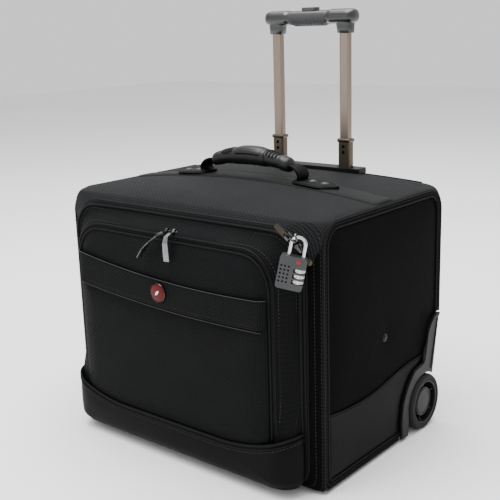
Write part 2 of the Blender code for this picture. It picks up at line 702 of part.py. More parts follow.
def make_wheel_housings():
    """An inner cheek with the axle's hole, the arch over the wheel, and an outer flange with a tall fin."""
    centre = (WHEEL_Y, WHEEL_RADIUS)
    cheek = arc(centre, ARCH_RADIUS + 1 * MM, 215, -35, 24)
    arch = arc(centre, ARCH_RADIUS, 200, 58, 18) + arc(centre, ARCH_RADIUS + ARCH_WALL, 58, 200, 18)
    flange = [(53 * MM, BASE_Z)] + arc(centre, ARCH_RADIUS, 195, 58, 18)
    flange += scaled(FIN_OUTLINE + FLANGE_OUTLINE)
    bore = [(0, 170 * MM), (AXLE_RADIUS + GAP, 170 * MM), (AXLE_RADIUS + GAP, 190 * MM), (0, 190 * MM)]
    for side, sign in SIDES:
        housing = side_plate(sign, cheek, HOUSING_INNER_X, HOUSING_INNER_X + 2.5 * MM)
        fuse(housing,
             side_plate(sign, arch, HOUSING_INNER_X, HOUSING_OUTER_X - 1 * MM),
             side_plate(sign, scaled(FIN_BACK_OUTLINE), HOUSING_INNER_X, HOUSING_OUTER_X - 0.5 * MM),
             side_plate(sign, flange, HALF_WIDTH + GAP, HOUSING_OUTER_X))
        cut(housing, revolve(bore, wheel_axes(sign), 24))
        add_node("wheel_housing_" + side, housing, "black_plastic", "case", True)


# ---------------------------------------------------------------- door and front pocket

def band_plan(inset):
    """Plan outline of the kick band: a straight front whose ends curve back to the door."""
    reach = DOOR_HALF_WIDTH - BAND_STRAIGHT - inset
    depth = DOOR_FRONT - GAP - BAND_FRONT - inset
    points = []
    for sign in (1, -1):
        quarter = []
        for step in range(9):
            angle = math.radians(90 * step / 8)
            x = BAND_STRAIGHT + reach * math.cos(angle)
            quarter.append((sign * x, DOOR_FRONT - GAP - depth * math.sin(angle)))
        points += quarter if sign == 1 else quarter[::-1]
    return points


def lower_cut(margin, low_y, high_y):
    """Everything under the kick band's top edge, for trimming the pieces that stand over it."""
    reach = 230 * MM
    outline = [(-reach, -50 * MM), (reach, -50 * MM)]
    for step in range(25):
        x = reach - 2 * reach * step / 24
        outline.append((x, band_top(min(abs(x), DOOR_HALF_WIDTH)) + margin))
    return prism(outline, "Y", low_y, high_y)


def upper_cut(low_y, high_y):
    """Everything over the kick band's top edge."""
    reach = 230 * MM
    outline = [(reach, 300 * MM), (-reach, 300 * MM)]
    for step in range(25):
        x = -reach + 2 * reach * step / 24
        outline.append((x, band_top(min(abs(x), DOOR_HALF_WIDTH))))
    return prism(outline, "Y", low_y, high_y)


def make_door():
    outline = rounded_rectangle((-DOOR_HALF_WIDTH, DOOR_BOTTOM), (DOOR_HALF_WIDTH, DOOR_TOP),
                                (DOOR_BOTTOM_RADIUS, DOOR_BOTTOM_RADIUS, DOOR_TOP_RADIUS, DOOR_TOP_RADIUS), 8)
    add_node("door_panel", prism(outline, "Y", DOOR_FRONT, DOOR_BACK), "nylon", "door")

    def arch_path(half_width, top, radius):
        path = [(half_width, GUSSET_BOTTOM)]
        path += arc((half_width - radius, top - radius), radius, 0, 90, 8)
        path += arc((-half_width + radius, top - radius), radius, 90, 180, 8)
        path.append((-half_width, GUSSET_BOTTOM))
        return path

    rings = []
    for y, flare in ((DOOR_FRONT - GAP, POCKET_FLARE), (POCKET_BACK + GAP, 0)):
        width, top, radius = POCKET_HALF_WIDTH + flare, POCKET_TOP + flare, POCKET_RADIUS + flare
        outline = arch_path(width, top, radius)
        outline += arch_path(width - SHELL_WALL, top - SHELL_WALL, radius - SHELL_WALL)[::-1]
        rings.append([Vector((x, y, z)) for x, z in outline])
    add_node("pocket_gusset", loft(rings), "nylon", "door", True)

    band = prism(band_plan(0), "Z", DOOR_BOTTOM, 90 * MM)
    hollow = band_plan(BAND_WALL)
    hollow = [(x, y + (BAND_WALL if y > DOOR_FRONT - 5 * MM else 0)) for x, y in hollow]
    cut(band, prism(hollow, "Z", DOOR_BOTTOM + BAND_WALL, 95 * MM), upper_cut(-190 * MM, -140 * MM))
    add_node("kick_band", band, "leatherette", "door", True)

    half = POCKET_HALF_WIDTH - 0.5 * MM
    outline = rounded_rectangle((-half, 40 * MM), (half, POCKET_TOP - 0.5 * MM),
                                (1 * MM, 1 * MM, POCKET_RADIUS, POCKET_RADIUS), 8)
    front = prism(outline, "Y", POCKET_FRONT, POCKET_BACK - GAP)
    cut(front, lower_cut(0.6 * MM, -200 * MM, -160 * MM))
    add_node("pocket_front", front, "nylon", "pocket_flap")

    half = POCKET_HALF_WIDTH - 4 * MM
    outline = rounded_rectangle((-half, 40 * MM), (half, SLIP_TOP), (1 * MM,) * 4, 2)
    slip = prism(outline, "Y", SLIP_FRONT, POCKET_FRONT - GAP)
    cut(slip, lower_cut(1.2 * MM, -200 * MM, -160 * MM))
    add_node("slip_pocket", slip, "nylon", "pocket_flap")

    turn = Matrix.Translation((BADGE_X, SLIP_FRONT - GAP, BADGE_Z)) @ Matrix.Rotation(math.radians(90), 4, "X")
    disc = [(0, 0), (BADGE_RADIUS, 0), (BADGE_RADIUS, 1.6 * MM)]
    disc += [(BADGE_RADIUS - 1 * MM, 2.4 * MM), (0, 2.4 * MM)]
    add_node("badge", revolve(disc, turn, 32), "badge_red", "pocket_flap", True)


# ---------------------------------------------------------------- zip sliders and pullers

def zip_frame(origin, travel, outward):
    """A frame on the zip: X along the travel that the puller lies along, Z away from the tape."""
    travel, outward = Vector(travel).normalized(), Vector(outward).normalized()
    across = outward.cross(travel).normalized()
    travel = across.cross(outward)
    turn = Matrix((travel, across, outward)).transposed().to_4x4()
    return Matrix.Translation(Vector(origin)) @ turn


def zip_slider(frame):
    """A slider with a bridge, which the puller's bar passes under."""
    outline = rounded_rectangle((-5.5 * MM, -4 * MM), (5.5 * MM, 4 * MM), (2 * MM,) * 4, 3)
    base = prism(outline, "Z", 0, 3 * MM)
    return moved(fuse(base, prism(scaled(BRIDGE_OUTLINE), "Y", -1.5 * MM, 1.5 * MM)), frame)


def zip_puller(frame):
    """A flat pull tab with a window, whose end bar is the hinge."""
    radii = (0.3 * MM, 3 * MM, 3 * MM, 0.3 * MM)
    outline = rounded_rectangle((-0.8 * MM, -3.5 * MM), (PULLER_LENGTH, 3.5 * MM), radii, 4)
    tab = prism(outline, "Z", PULLER_BAR_HEIGHT - 0.8 * MM, PULLER_BAR_HEIGHT + 0.8 * MM)
    cut(tab, block((0.8 * MM, -1.9 * MM, 0), (6.5 * MM, 1.9 * MM, 10 * MM)))
    return moved(tab, frame)


def bar_of(frame):
    return frame @ Vector((0, 0, PULLER_BAR_HEIGHT))


def bridge_of(frame):
    return frame @ Vector((0, 0, BRIDGE_EYE_HEIGHT))


def draped_puller(frame, path, widths):
    """A pull tab that hangs over the pocket's edge from an eye around the slider's bridge."""
    centre = bridge_of(frame)
    turn = Matrix.Translation(centre) @ Matrix.Rotation(math.radians(90), 4, "Y")
    eye = [(2.1 * MM, -1.6 * MM), (3.4 * MM, -1.6 * MM), (3.4 * MM, 1.6 * MM), (2.1 * MM, 1.6 * MM)]
    points = [centre + Vector(point) * MM for point in path]
    rings = []
    for index, (point, width) in enumerate(zip(points, widths)):
        along = (points[min(index + 1, len(points) - 1)] - points[max(index - 1, 0)]).normalized()
        across = Vector(width[:3])
        across = (across - across.dot(along) * along).normalized() * width[3] * MM
        thick = along.cross(across).normalized() * 0.8 * MM
        below, above = point - thick, point + thick
        rings.append([below - across, below + across, above + across, above - across])
    return fuse(revolve(eye, turn, 16), loft(rings))


def zip_corner(angle, radius):
    angle = math.radians(angle)
    return ZIP_CENTRE + Vector((radius * math.sin(angle), 0, radius * math.cos(angle)))


def zip_frames():
    """The four sliders' frames by name."""
    upper = zip_corner(38, 46 * MM)
    lower = zip_corner(58, 49 * MM)
    upper.y, lower.y = DOOR_FRONT - 0.6 * MM, DOOR_FRONT - 1 * MM
    gusset_y = -165 * MM
    gusset_z = POCKET_TOP + POCKET_FLARE / 2 + 1 * MM
    return {
        "main_upper": zip_frame(upper, (-0.80, 0, 0.60), (0, -1, 0)),
        "main_lower": zip_frame(lower, (0.534, 0.27, -0.80), (0.45, -0.89, 0)),
        "pocket_left": zip_frame((0, gusset_y, gusset_z), (-1, 0, 0), (0, -0.25, 1)),
        "pocket_right": zip_frame((12 * MM, gusset_y, gusset_z), (1, 0, 0), (0, -0.25, 1)),
    }


# ---------------------------------------------------------------- padlock

def lock_axes():
    turn = Matrix.Rotation(LOCK_TURN, 4, "Z") @ Matrix.Rotation(LOCK_LEAN, 4, "Y")
    return turn.to_3x3()


def lock_point(u, v, w=0.0):
    """A point of the padlock: u across its width, v up its length, w out of its front."""
    return LOCK_CENTRE + lock_axes() @ Vector((u, -w, v))


def shackle_point(angle):
    angle = math.radians(angle)
    top = LOCK_HALF[1] + SHACKLE_RISE - SHACKLE_RADIUS
    u = SHACKLE_CENTRE_U + SHACKLE_RADIUS * math.cos(angle)
    return lock_point(u, top + SHACKLE_RADIUS * math.sin(angle))


def shackle_tangent(angle):
    return (shackle_point(angle + 1) - shackle_point(angle - 1)).normalized()


def eyelet(angle, root):
    """A ring around the shackle, on a neck that reaches back to its slider."""
    centre = shackle_point(angle)
    turn = shackle_tangent(angle).to_track_quat("Z", "Y").to_matrix().to_4x4()
    frame = Matrix.Translation(centre) @ turn
    inner, outer = EYELET_RADII
    profile = [(inner, -EYELET_HALF), (outer, -EYELET_HALF), (outer, EYELET_HALF), (inner, EYELET_HALF)]
    ring = revolve(profile, frame, 16)
    towards = root - centre
    towards -= towards.dot(shackle_tangent(angle)) * shackle_tangent(angle)
    rim = centre + towards.normalized() * 4.2 * MM
    return ring, rod(root, rim, 1.3 * MM, 8, 1 * MM)


def make_zip_hardware():
    frames = zip_frames()
    for name, angle in (("upper", 150), ("lower", 116)):
        frame = frames["main_" + name]
        ring, neck = eyelet(angle, frame @ Vector((-4.8 * MM, 1.5 * MM, 1.5 * MM)))
        slider = fuse(zip_slider(frame), neck, ring)
        add_node("main_slider_" + name, slider, "gunmetal", "main_slider_" + name)
        add_node("main_puller_" + name, zip_puller(frame), "gunmetal", "main_puller_" + name)
    for side, _ in SIDES:
        frame = frames["pocket_" + side]
        add_node("pocket_slider_" + side, zip_slider(frame), "gunmetal", "pocket_slider_" + side)
        puller = draped_puller(frame, *PULLER_DRAPES[side])
        add_node("pocket_puller_" + side, puller, "gunmetal", "pocket_puller_" + side)


def upright_rod(radius, low, high):
    """Half outline of a round bar, for revolve."""
    return [(0, low), (radius, low), (radius, high), (0, high)]


def make_padlock():
    local = Matrix.Translation(LOCK_CENTRE) @ lock_axes().to_4x4()
    half_u, half_v, half_w = LOCK_HALF
    outline = rounded_rectangle((-half_u, -half_v), (half_u, half_v), (3 * MM,) * 4, 3)
    shape = prism(outline, "Y", -half_w, half_w)
    window_u, half_window = DIAL_U - DIAL_RADIUS - 0.4 * MM, DIAL_HALF_HEIGHT + GAP
    for v in DIAL_V:
        cut(shape, block((window_u, -10 * MM, v - half_window), (20 * MM, 10 * MM, v + half_window)))
    socket = upright_rod(SHACKLE_ROD + GAP, half_v - SOCKET_DEPTH, half_v + SOCKET_OVERSHOOT)
    for leg in (-1, 1):
        place = Matrix.Translation((SHACKLE_CENTRE_U + leg * SHACKLE_RADIUS, 0, 0))
        cut(shape, revolve(socket, place, 16))
    plug_place = Matrix.Translation((PLUG_U, 0, 0))
    keyway = upright_rod(KEYWAY_RADIUS, -half_v - 5 * MM, -half_v + PLUG_LENGTH + 1 * MM)
    cut(shape, revolve(keyway, plug_place, 16))
    add_node("lock_body", moved(shape, local), "lock_grey", "lock_body", True)

    plug = revolve(upright_rod(PLUG_RADIUS, -half_v - 0.6 * MM, -half_v + PLUG_LENGTH), plug_place, 16)
    slot_low = (PLUG_U - 2 * MM, -0.5 * MM, -half_v - 3 * MM)
    cut(plug, block(slot_low, (PLUG_U + 2 * MM, 0.5 * MM, -half_v + 3 * MM)))
    add_node("lock_key_cylinder", moved(plug, local), "steel", "lock_key_cylinder", True)

    for number, v in enumerate(DIAL_V, 1):
        dial = revolve(upright_rod(DIAL_RADIUS, v - DIAL_HALF_HEIGHT, v + DIAL_HALF_HEIGHT),
                       Matrix.Translation((DIAL_U, 0, 0)), 20)
        add_node(f"lock_dial_{number}", moved(dial, local), "dial_white", f"lock_dial_{number}", True)

    leg = (half_v - SOCKET_DEPTH + 1 * MM, half_v + SOCKET_OVERSHOOT)
    points = [lock_point(SHACKLE_CENTRE_U + SHACKLE_RADIUS, v) for v in leg]
    points += [shackle_point(angle) for angle in range(0, 181, 15)]
    points += [lock_point(SHACKLE_CENTRE_U - SHACKLE_RADIUS, v) for v in leg[::-1]]
    add_node("lock_shackle", swept_rod(points, SHACKLE_ROD), "chrome", "lock_shackle", True)


# ---------------------------------------------------------------- assembly

def add_bodies():
    frames = zip_frames()
    corner = Vector((ZIP_CENTRE.x, DOOR_FRONT, ZIP_CENTRE.z))
    add_body("case", (0, 0, 0))
    add_body("middle_stage", (0, TUBE_Y, MIDDLE_TUBE_SPAN[0]), "case")
    add_body("inner_stage", (0, TUBE_Y, INNER_TUBE_SPAN[0]), "middle_stage")
    add_body("release_button", (0, TUBE_Y, BUTTON_SPAN[0]), "inner_stage")
    add_body("carry_handle", (0, 0, CARRY_PIVOT_Z), "case")
    add_body("wheel_left", (0, WHEEL_Y, WHEEL_RADIUS), "case")
    add_body("wheel_right", (0, WHEEL_Y, WHEEL_RADIUS), "case")
    add_body("door", (0, DOOR_BACK + 0.2 * MM, DOOR_BOTTOM - 0.4 * MM), "case")
    add_body("pocket_flap", (0, BAND_FRONT - GAP, BAND_TOP + GAP), "door")
    add_body("main_slider_upper", corner, "door")
    add_body("main_slider_lower", corner, "door")
    add_body("main_puller_upper", bar_of(frames["main_upper"]), "main_slider_upper")
    add_body("main_puller_lower", bar_of(frames["main_lower"]), "main_slider_lower")
    for side, _ in SIDES:
        add_body("pocket_slider_" + side, frames["pocket_" + side].translation, "pocket_flap")
        add_body("pocket_puller_" + side, bridge_of(frames["pocket_" + side]), "pocket_slider_" + side)
    add_body("lock_shackle", shackle_point(135), "main_slider_upper")
    add_body("lock_body", LOCK_CENTRE, "lock_shackle")
    for number, v in enumerate(DIAL_V, 1):
        add_body(f"lock_dial_{number}", lock_point(DIAL_U, v), "lock_body")
    add_body("lock_key_cylinder", lock_point(PLUG_U, -LOCK_HALF[1]), "lock_body")


def stand_on_origin():
    """Moves the whole case so that its box is centred over the origin."""
    bpy.context.view_layer.update()
    xs, ys = [], []
    for node in nodes:
        for vertex in node.data.vertices:
            point = node.matrix_world @ vertex.co
            xs.append(point.x)
            ys.append(point.y)
    bodies["case"].location = (-(min(xs) + max(xs)) / 2, -(min(ys) + max(ys)) / 2, 0)
    bpy.context.view_layer.update()


def main():
    clear_scene()
    add_materials()
    add_bodies()
    make_panels()
    make_front_frame()
    make_back()
    make_top_band()
    make_feet_and_rivets()
    make_trolley()
    make_carry_handle()
    make_wheels()
    make_wheel_housings()
    make_door()
    make_zip_hardware()
    make_padlock()
    stand_on_origin()


main()
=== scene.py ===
from math import copysign, cos, hypot, pi, radians, sin, sqrt, tanh

import bmesh
import bpy
from mathutils import Matrix, Vector


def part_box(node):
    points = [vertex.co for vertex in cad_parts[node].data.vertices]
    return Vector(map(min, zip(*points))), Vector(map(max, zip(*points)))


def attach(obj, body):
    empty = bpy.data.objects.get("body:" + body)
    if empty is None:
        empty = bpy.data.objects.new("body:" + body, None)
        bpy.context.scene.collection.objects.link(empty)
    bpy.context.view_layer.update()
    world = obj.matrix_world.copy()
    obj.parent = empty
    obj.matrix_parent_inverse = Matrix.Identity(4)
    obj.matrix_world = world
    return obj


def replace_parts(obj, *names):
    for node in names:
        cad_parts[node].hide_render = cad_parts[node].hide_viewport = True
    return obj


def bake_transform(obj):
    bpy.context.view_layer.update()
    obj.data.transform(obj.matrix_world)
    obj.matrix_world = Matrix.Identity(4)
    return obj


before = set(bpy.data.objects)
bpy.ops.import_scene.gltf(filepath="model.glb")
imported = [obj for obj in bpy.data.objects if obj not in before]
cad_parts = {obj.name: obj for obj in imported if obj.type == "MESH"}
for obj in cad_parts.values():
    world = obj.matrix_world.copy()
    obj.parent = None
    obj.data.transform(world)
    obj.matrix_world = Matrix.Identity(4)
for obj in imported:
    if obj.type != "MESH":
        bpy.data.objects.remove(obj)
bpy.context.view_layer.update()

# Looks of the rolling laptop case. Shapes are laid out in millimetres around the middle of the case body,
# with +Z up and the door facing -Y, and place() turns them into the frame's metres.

MM = 0.001
panel_low, panel_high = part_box("side_panel_right")
CENTRE_Y = (panel_low.y + panel_high.y) / 2
SIDES = (("left", -1), ("right", 1))


def at(x, y, z):
    return Vector((x, y, z))


def place(point):
    """From layout millimetres to frame metres."""
    return at(point[0] * MM, point[1] * MM + CENTRE_Y, point[2] * MM)


def span(node):
    """Lowest and highest corner of a CAD node, in layout millimetres."""
    shift = at(0, CENTRE_Y, 0)
    low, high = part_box(node)
    return (low - shift) / MM, (high - shift) / MM


# Sizes read from the frame
side_low, side_high = span("side_panel_right")
HALF_WIDTH, BASE, TOP = side_high.x, side_low.z, side_high.z
CROWN = span("top_panel")[1].z - TOP
FRONT_FACE = span("front_frame")[0].y
door_low, door_high = span("door_panel")
DOOR_HALF, DOOR_BOTTOM, DOOR_TOP, DOOR_FRONT = door_high.x, door_low.z, door_high.z, door_low.y
pocket_low, pocket_high = span("pocket_front")
POCKET_HALF, POCKET_TOP, POCKET_FRONT = pocket_high.x, pocket_high.z, pocket_low.y
BAND_FRONT = span("kick_band")[0].y
SLIP_FRONT = span("slip_pocket")[0].y
GRIP_LOW, GRIP_HIGH = span("grip_shell")
TUBE_X = (span("inner_tube_right")[0].x + span("inner_tube_right")[1].x) / 2
TUBE_Y = (GRIP_LOW.y + GRIP_HIGH.y) / 2
WHEEL_LOW, WHEEL_HIGH = span("tyre_right")
WHEEL_Y, WHEEL_Z = (WHEEL_LOW.y + WHEEL_HIGH.y) / 2, (WHEEL_LOW.z + WHEEL_HIGH.z) / 2

# Sizes that the frame's boxes don't give
HALF_DEPTH = 137
CROWN_FALL = 0.47
EDGE_RADIUS = 30
DOOR_TOP_RADIUS, DOOR_BOTTOM_RADIUS = 42, 27
POCKET_RADIUS = 40
POCKET_EDGE_Y = -173.5
BAND_TOP, BAND_RISE, BAND_FLAT, BAND_STRAIGHT = 54, 26, 80, 158
COVER_BASE_X, COVER_TOP_X, COVER_BACK = 100, 86, 150
BINDING = 9
CARRY_LENGTH, CARRY_TOP, CARRY_SAG = 66, 374, 9
LOCK_CENTRE, LOCK_HALF_THICK = at(190.5, -169, 280.2), 6
LOCK_TURN = Matrix.Rotation(radians(30), 3, "Z") @ Matrix.Rotation(radians(12), 3, "Y")


# ---------------------------------------------------------------- small maths

def smooth(value):
    value = min(1.0, max(0.0, value))
    return value * value * (3 - 2 * value)


def mix(a, b, share):
    return a + (b - a) * share


def shares(steps, first=0):
    return [step / steps for step in range(first, steps + 1)]


def leg(long, other):
    """The other short side of a right triangle, and 0 where there is none."""
    return sqrt(max(0.0, long * long - other * other))


def beyond(value, limit):
    return max(0.0, abs(value) - limit)


def arc(centre, radius, start, end, steps):
    points = []
    for share in shares(steps):
        angle = radians(mix(start, end, share))
        points.append((centre[0] + radius * cos(angle), centre[1] + radius * sin(angle)))
    return points


def squircle(steps, power):
    """A rounded square of half width 1, as (x, y)."""
    points = []
    for step in range(steps):
        c, s = cos(2 * pi * step / steps), sin(2 * pi * step / steps)
        flat = (abs(c) ** power + abs(s) ** power) ** (-1 / power)
        points.append((c * flat, s * flat))
    return points


def even(points, step, closed=False):
    """The same path with its points evenly spaced."""
    points = [Vector(point) for point in points]
    if closed:
        points.append(points[0])
    total = sum((b - a).length for a, b in zip(points, points[1:]))
    count = max(2, round(total / step))
    made, index, walked = [], 0, 0.0
    for number in range(count if closed else count + 1):
        target = total * number / count
        while index < len(points) - 2 and walked + (points[index + 1] - points[index]).length < target:
            walked += (points[index + 1] - points[index]).length
            index += 1
        length = (points[index + 1] - points[index]).length
        made.append(points[index].lerp(points[index + 1], min(1.0, (target - walked) / max(length, 1e-9))))
    return made


def spline(points, steps):
    """A smooth path through the points."""
    points = [Vector(point) for point in points]
    padded = [2 * points[0] - points[1], *points, 2 * points[-1] - points[-2]]
    made = []
    for a, b, c, d in zip(padded, padded[1:], padded[2:], padded[3:]):
        for t in shares(steps)[:-1]:
            made.append(0.5 * (2 * b + (c - a) * t + (2 * a - 5 * b + 4 * c - d) * t * t
                               + (3 * b - a - 3 * c + d) * t ** 3))
    return made + [points[-1]]


def along(points, index, closed=False):
    """Direction of travel at a point of a path."""
    count = len(points)
    if closed:
        return (points[(index + 1) % count] - points[index - 1]).normalized()
    return (points[min(index + 1, count - 1)] - points[max(index - 1, 0)]).normalized()


def distance_to(point, outline):
    """Distance in a plane from a point to a polyline."""
    best = 1e9
    for a, b in zip(outline, outline[1:]):
        edge = b - a
        share = min(1.0, max(0.0, (point - a).dot(edge) / max(edge.length_squared, 1e-9)))
        best = min(best, (point - a - edge * share).length)
    return best


# ---------------------------------------------------------------- materials

def tint(colour, share):
    return tuple(share * part for part in colour)


class Look:
    """A Principled material whose colour, roughness and bump are built up from nodes."""

    def __init__(self, name, roughness, metallic=0.0, **sockets):
        self.material = bpy.data.materials.new(name)
        self.material.use_nodes = True
        self.tree = self.material.node_tree
        self.shader = self.tree.nodes["Principled BSDF"]
        for socket, value in {"Roughness": roughness, "Metallic": metallic, **sockets}.items():
            self.shader.inputs[socket.replace("_", " ")].default_value = value

    def add(self, kind, output=0, values=(), **inputs):
        """Adds a node. Inputs take numbers or other nodes' sockets; values are the node's own settings."""
        node = self.tree.nodes.new("ShaderNode" + kind)
        for key, value in dict(values).items():
            setattr(node, key, value)
        for key, value in inputs.items():
            self.feed(node.inputs[int(key[1:])] if key[0] == "i" and key[1:].isdigit() else node.inputs[key], value)
        return node.outputs[output]

    def feed(self, socket, value):
        if isinstance(value, bpy.types.NodeSocket):
            self.tree.links.new(value, socket)
        else:
            socket.default_value = value

    def math(self, operation, a, b=0.0):
        return self.add("Math", values={"operation": operation}, i0=a, i1=b)

    def scaled(self, value, share, base):
        return self.math("ADD", self.math("MULTIPLY", value, share), base)

    def wave(self, value, count=1):
        """Humps between 0 and 1, count of them in each unit of the value."""
        return self.math("ABSOLUTE", self.math("SINE", self.math("MULTIPLY", value, pi * count)))

    def noise(self, scale, detail=3.0, coordinates=None, rough=0.5):
        where = coordinates or self.add("TexCoord", output=3)
        return self.add("TexNoise", Vector=where, Scale=scale, Detail=detail, Roughness=rough)

    def surface(self):
        """The surface's own two coordinates, in metres."""
        split = self.tree.nodes.new("ShaderNodeSeparateXYZ")
        self.tree.links.new(self.add("TexCoord", output=2), split.inputs[0])
        return split.outputs

    def ramp(self, value, low, high, colours):
        """Blends two colours while a value runs from low to high."""
        mixed = self.tree.nodes.new("ShaderNodeMix")
        mixed.data_type = "RGBA"
        self.feed(mixed.inputs[0], self.add("MapRange", i0=value, i1=low, i2=high))
        for socket, colour in zip((mixed.inputs[6], mixed.inputs[7]), colours):
            self.feed(socket, (*colour, 1) if isinstance(colour, tuple) else colour)
        return mixed.outputs[2]

    def paint(self, colour, roughness=None, height=None, depth=0.0002):
        links, inputs = self.tree.links, self.shader.inputs
        links.new(colour, inputs["Base Color"])
        if height is not None:
            links.new(roughness, inputs["Roughness"])
            links.new(self.add("Bump", Height=height, Distance=depth, Strength=1.0), inputs["Normal"])
        return self.material


def woven(name, dark, light, pitch_u, pitch_v, threads, roughness, depth, sheen):
    """A basket weave on the surface's own metres."""
    look = Look(name, roughness, Sheen_Weight=sheen, Sheen_Roughness=0.4, Specular_IOR_Level=0.03)
    across, up = look.surface()[:2]
    u, v = look.math("DIVIDE", across, pitch_u), look.math("DIVIDE", up, pitch_v)
    over = look.math("PINGPONG", look.math("ADD", look.math("FLOOR", u), look.math("FLOOR", v)), 1.0)
    warp = look.math("MULTIPLY", look.wave(u), look.scaled(look.wave(v, threads), 0.35, 0.65))
    weft = look.math("MULTIPLY", look.wave(v), look.scaled(look.wave(u, threads), 0.35, 0.65))
    height = look.math("ADD", look.math("MULTIPLY", warp, over),
                       look.math("MULTIPLY", weft, look.math("SUBTRACT", 1.0, over)))
    fuzz = look.noise(2600.0, 2.0)
    lit = look.ramp(look.noise(22.0, 4.0), 0.3, 0.7, (tint(light, 0.85), tint(light, 1.12)))
    crossed = look.ramp(over, 0.0, 1.0, (lit, tint(light, 0.8)))
    full = look.math("ADD", height, look.math("MULTIPLY", fuzz, 0.25))
    colour = look.ramp(height, 0.1, 0.85, (dark, crossed))
    return look.paint(colour, look.scaled(fuzz, 0.16, roughness - 0.08), full, depth)


def grained(name, dark, light, scale, roughness, depth):
    """Leatherette: small rounded cells with fine creases between them."""
    look = Look(name, roughness, Specular_IOR_Level=0.07)
    where = look.add("TexCoord", output=3)
    cells = look.add("TexVoronoi", values={"feature": "DISTANCE_TO_EDGE"}, Vector=where, Scale=scale)
    cloud = look.noise(14.0, 4.0)
    pores = look.math("MULTIPLY", look.noise(scale * 3.5, 3.0), 0.07)
    height = look.math("ADD", look.math("MINIMUM", cells, 0.16), pores)
    skin = look.ramp(cloud, 0.3, 0.7, (tint(light, 0.8), tint(light, 1.15)))
    colour = look.ramp(cells, 0.0, 0.12, (dark, skin))
    return look.paint(colour, look.scaled(cloud, 0.2, roughness - 0.1), height, depth)


def moulded(name, colour, roughness, scale=900.0, depth=0.00006, edge_lift=1.6, Metallic=0.0, **sockets):
    """Moulded plastic or rubber: fine texture, faint clouds and paler sharp edges, found by pointiness."""
    look = Look(name, roughness, Metallic, **sockets)
    cloud = look.noise(30.0, 4.0)
    body = look.ramp(cloud, 0.3, 0.7, (tint(colour, 0.85), tint(colour, 1.15)))
    pale_edges = look.ramp(look.add("NewGeometry", output=7), 0.52, 0.62, (body, tint(colour, edge_lift)))
    return look.paint(pale_edges, look.scaled(cloud, 0.18, roughness - 0.09), look.noise(scale, 2.0), depth)


def brushed(name, colour, roughness, stretch, depth=0.00003, edge_lift=1.25):
    """Metal with fine lines along one direction."""
    look = Look(name, roughness, 1.0)
    where = look.add("Mapping", Vector=look.add("TexCoord", output=3), Scale=stretch)
    lines = look.noise(60.0, 5.0, where, 0.7)
    body = look.ramp(lines, 0.3, 0.7, (tint(colour, 0.86), tint(colour, 1.1)))
    bright = tuple(min(1.0, part) for part in tint(colour, edge_lift))
    # Paler on sharp edges, found by pointiness.
    pale_edges = look.ramp(look.add("NewGeometry", output=7), 0.54, 0.66, (body, bright))
    cloud = look.math("MULTIPLY", look.noise(18.0, 3.0), 0.08)
    rough = look.math("ADD", look.math("MULTIPLY", lines, 0.14), cloud)
    return look.paint(pale_edges, look.math("ADD", rough, roughness - 0.11), lines, depth)


def twisted(name, dark, light, pitch, roughness, depth):
    """A cord or thread whose strands wind around it: U runs along it and V around it."""
    look = Look(name, roughness, Sheen_Weight=0.005, Sheen_Roughness=0.4, Specular_IOR_Level=0.1)
    run, round_it = look.surface()[:2]
    strand = look.wave(look.math("ADD", look.math("DIVIDE", run, pitch), round_it))
    rough = look.scaled(look.noise(700.0), 0.2, roughness - 0.1)
    return look.paint(look.ramp(strand, 0.1, 0.8, (dark, light)), rough, strand, depth)


def grey(level, warm=0.0):
    return (level * (1 + warm), level, level * (1 - warm))


NYLON = woven("ballistic_nylon", grey(0.0005), grey(0.0108, -0.05), 0.0031, 0.0025, 3, 0.6, 0.00045, 0.004)
# A lighter copy of the nylon above, for the case's top: painted light from above.
NYLON_PAINTED_LIT_TOP = woven("nylon_painted_lit_top", grey(0.0009), grey(0.0255, -0.05), 0.0031, 0.0025, 3, 0.6, 0.00045, 0.01)
# A much darker copy of the same nylon, for the case's sides: painted shade.
NYLON_PAINTED_SHADED_SIDE = woven("nylon_painted_shaded_side", grey(0.0002), grey(0.0013, -0.05), 0.0022, 0.0018, 3, 0.7, 0.0003, 0.001)
TAPE = woven("zip_tape", grey(0.0004), grey(0.003), 0.0011, 0.0008, 2, 0.7, 0.00012, 0.005)
LINING = woven("lining_cloth", grey(0.05), grey(0.16, 0.02), 0.0008, 0.0008, 1, 0.8, 0.00006, 0.2)
# A lighter copy of the leatherette below, for the band on the case's top: painted light from above.
LEATHERETTE_PAINTED_LIT_TOP = grained("leatherette_painted_lit_top", grey(0.003), grey(0.0135, -0.02), 900.0, 0.55, 0.00014)
LEATHERETTE = grained("leatherette", grey(0.0004), grey(0.0018, -0.02), 900.0, 0.55, 0.00014)
PIPING = twisted("piping_cord", grey(0.0006), grey(0.0036, -0.03), 0.0022, 0.6, 0.00010)
FOLD = twisted("fold_cord", grey(0.02), grey(0.055, -0.02), 0.0018, 0.45, 0.00006)
THREAD = twisted("thread", grey(0.010), grey(0.05), 0.0009, 0.55, 0.00008)
PLASTIC = moulded("black_plastic", grey(0.0036), 0.42, Specular_IOR_Level=0.14)
WHEEL_PLASTIC = moulded("wheel_plastic", grey(0.0075, 0.04), 0.4, 700.0, Specular_IOR_Level=0.16)
RUBBER = moulded("dark_rubber", grey(0.0095, 0.03), 0.66, 1300.0, 0.00008, Specular_IOR_Level=0.12)
GRIP = moulded("grip_plastic", grey(0.008, -0.06), 0.3, 1500.0, 0.00001, 1.5, Coat_Weight=0.35, Coat_Roughness=0.24)
HANDLE = moulded("handle_plastic", grey(0.0055, -0.04), 0.36, 1500.0, 0.00001, 1.4, Specular_IOR_Level=0.32)
GRIP_MATTE = moulded("grip_rubber", grey(0.040, -0.05), 0.6, 1100.0, 0.00014, 1.3, Specular_IOR_Level=0.3)
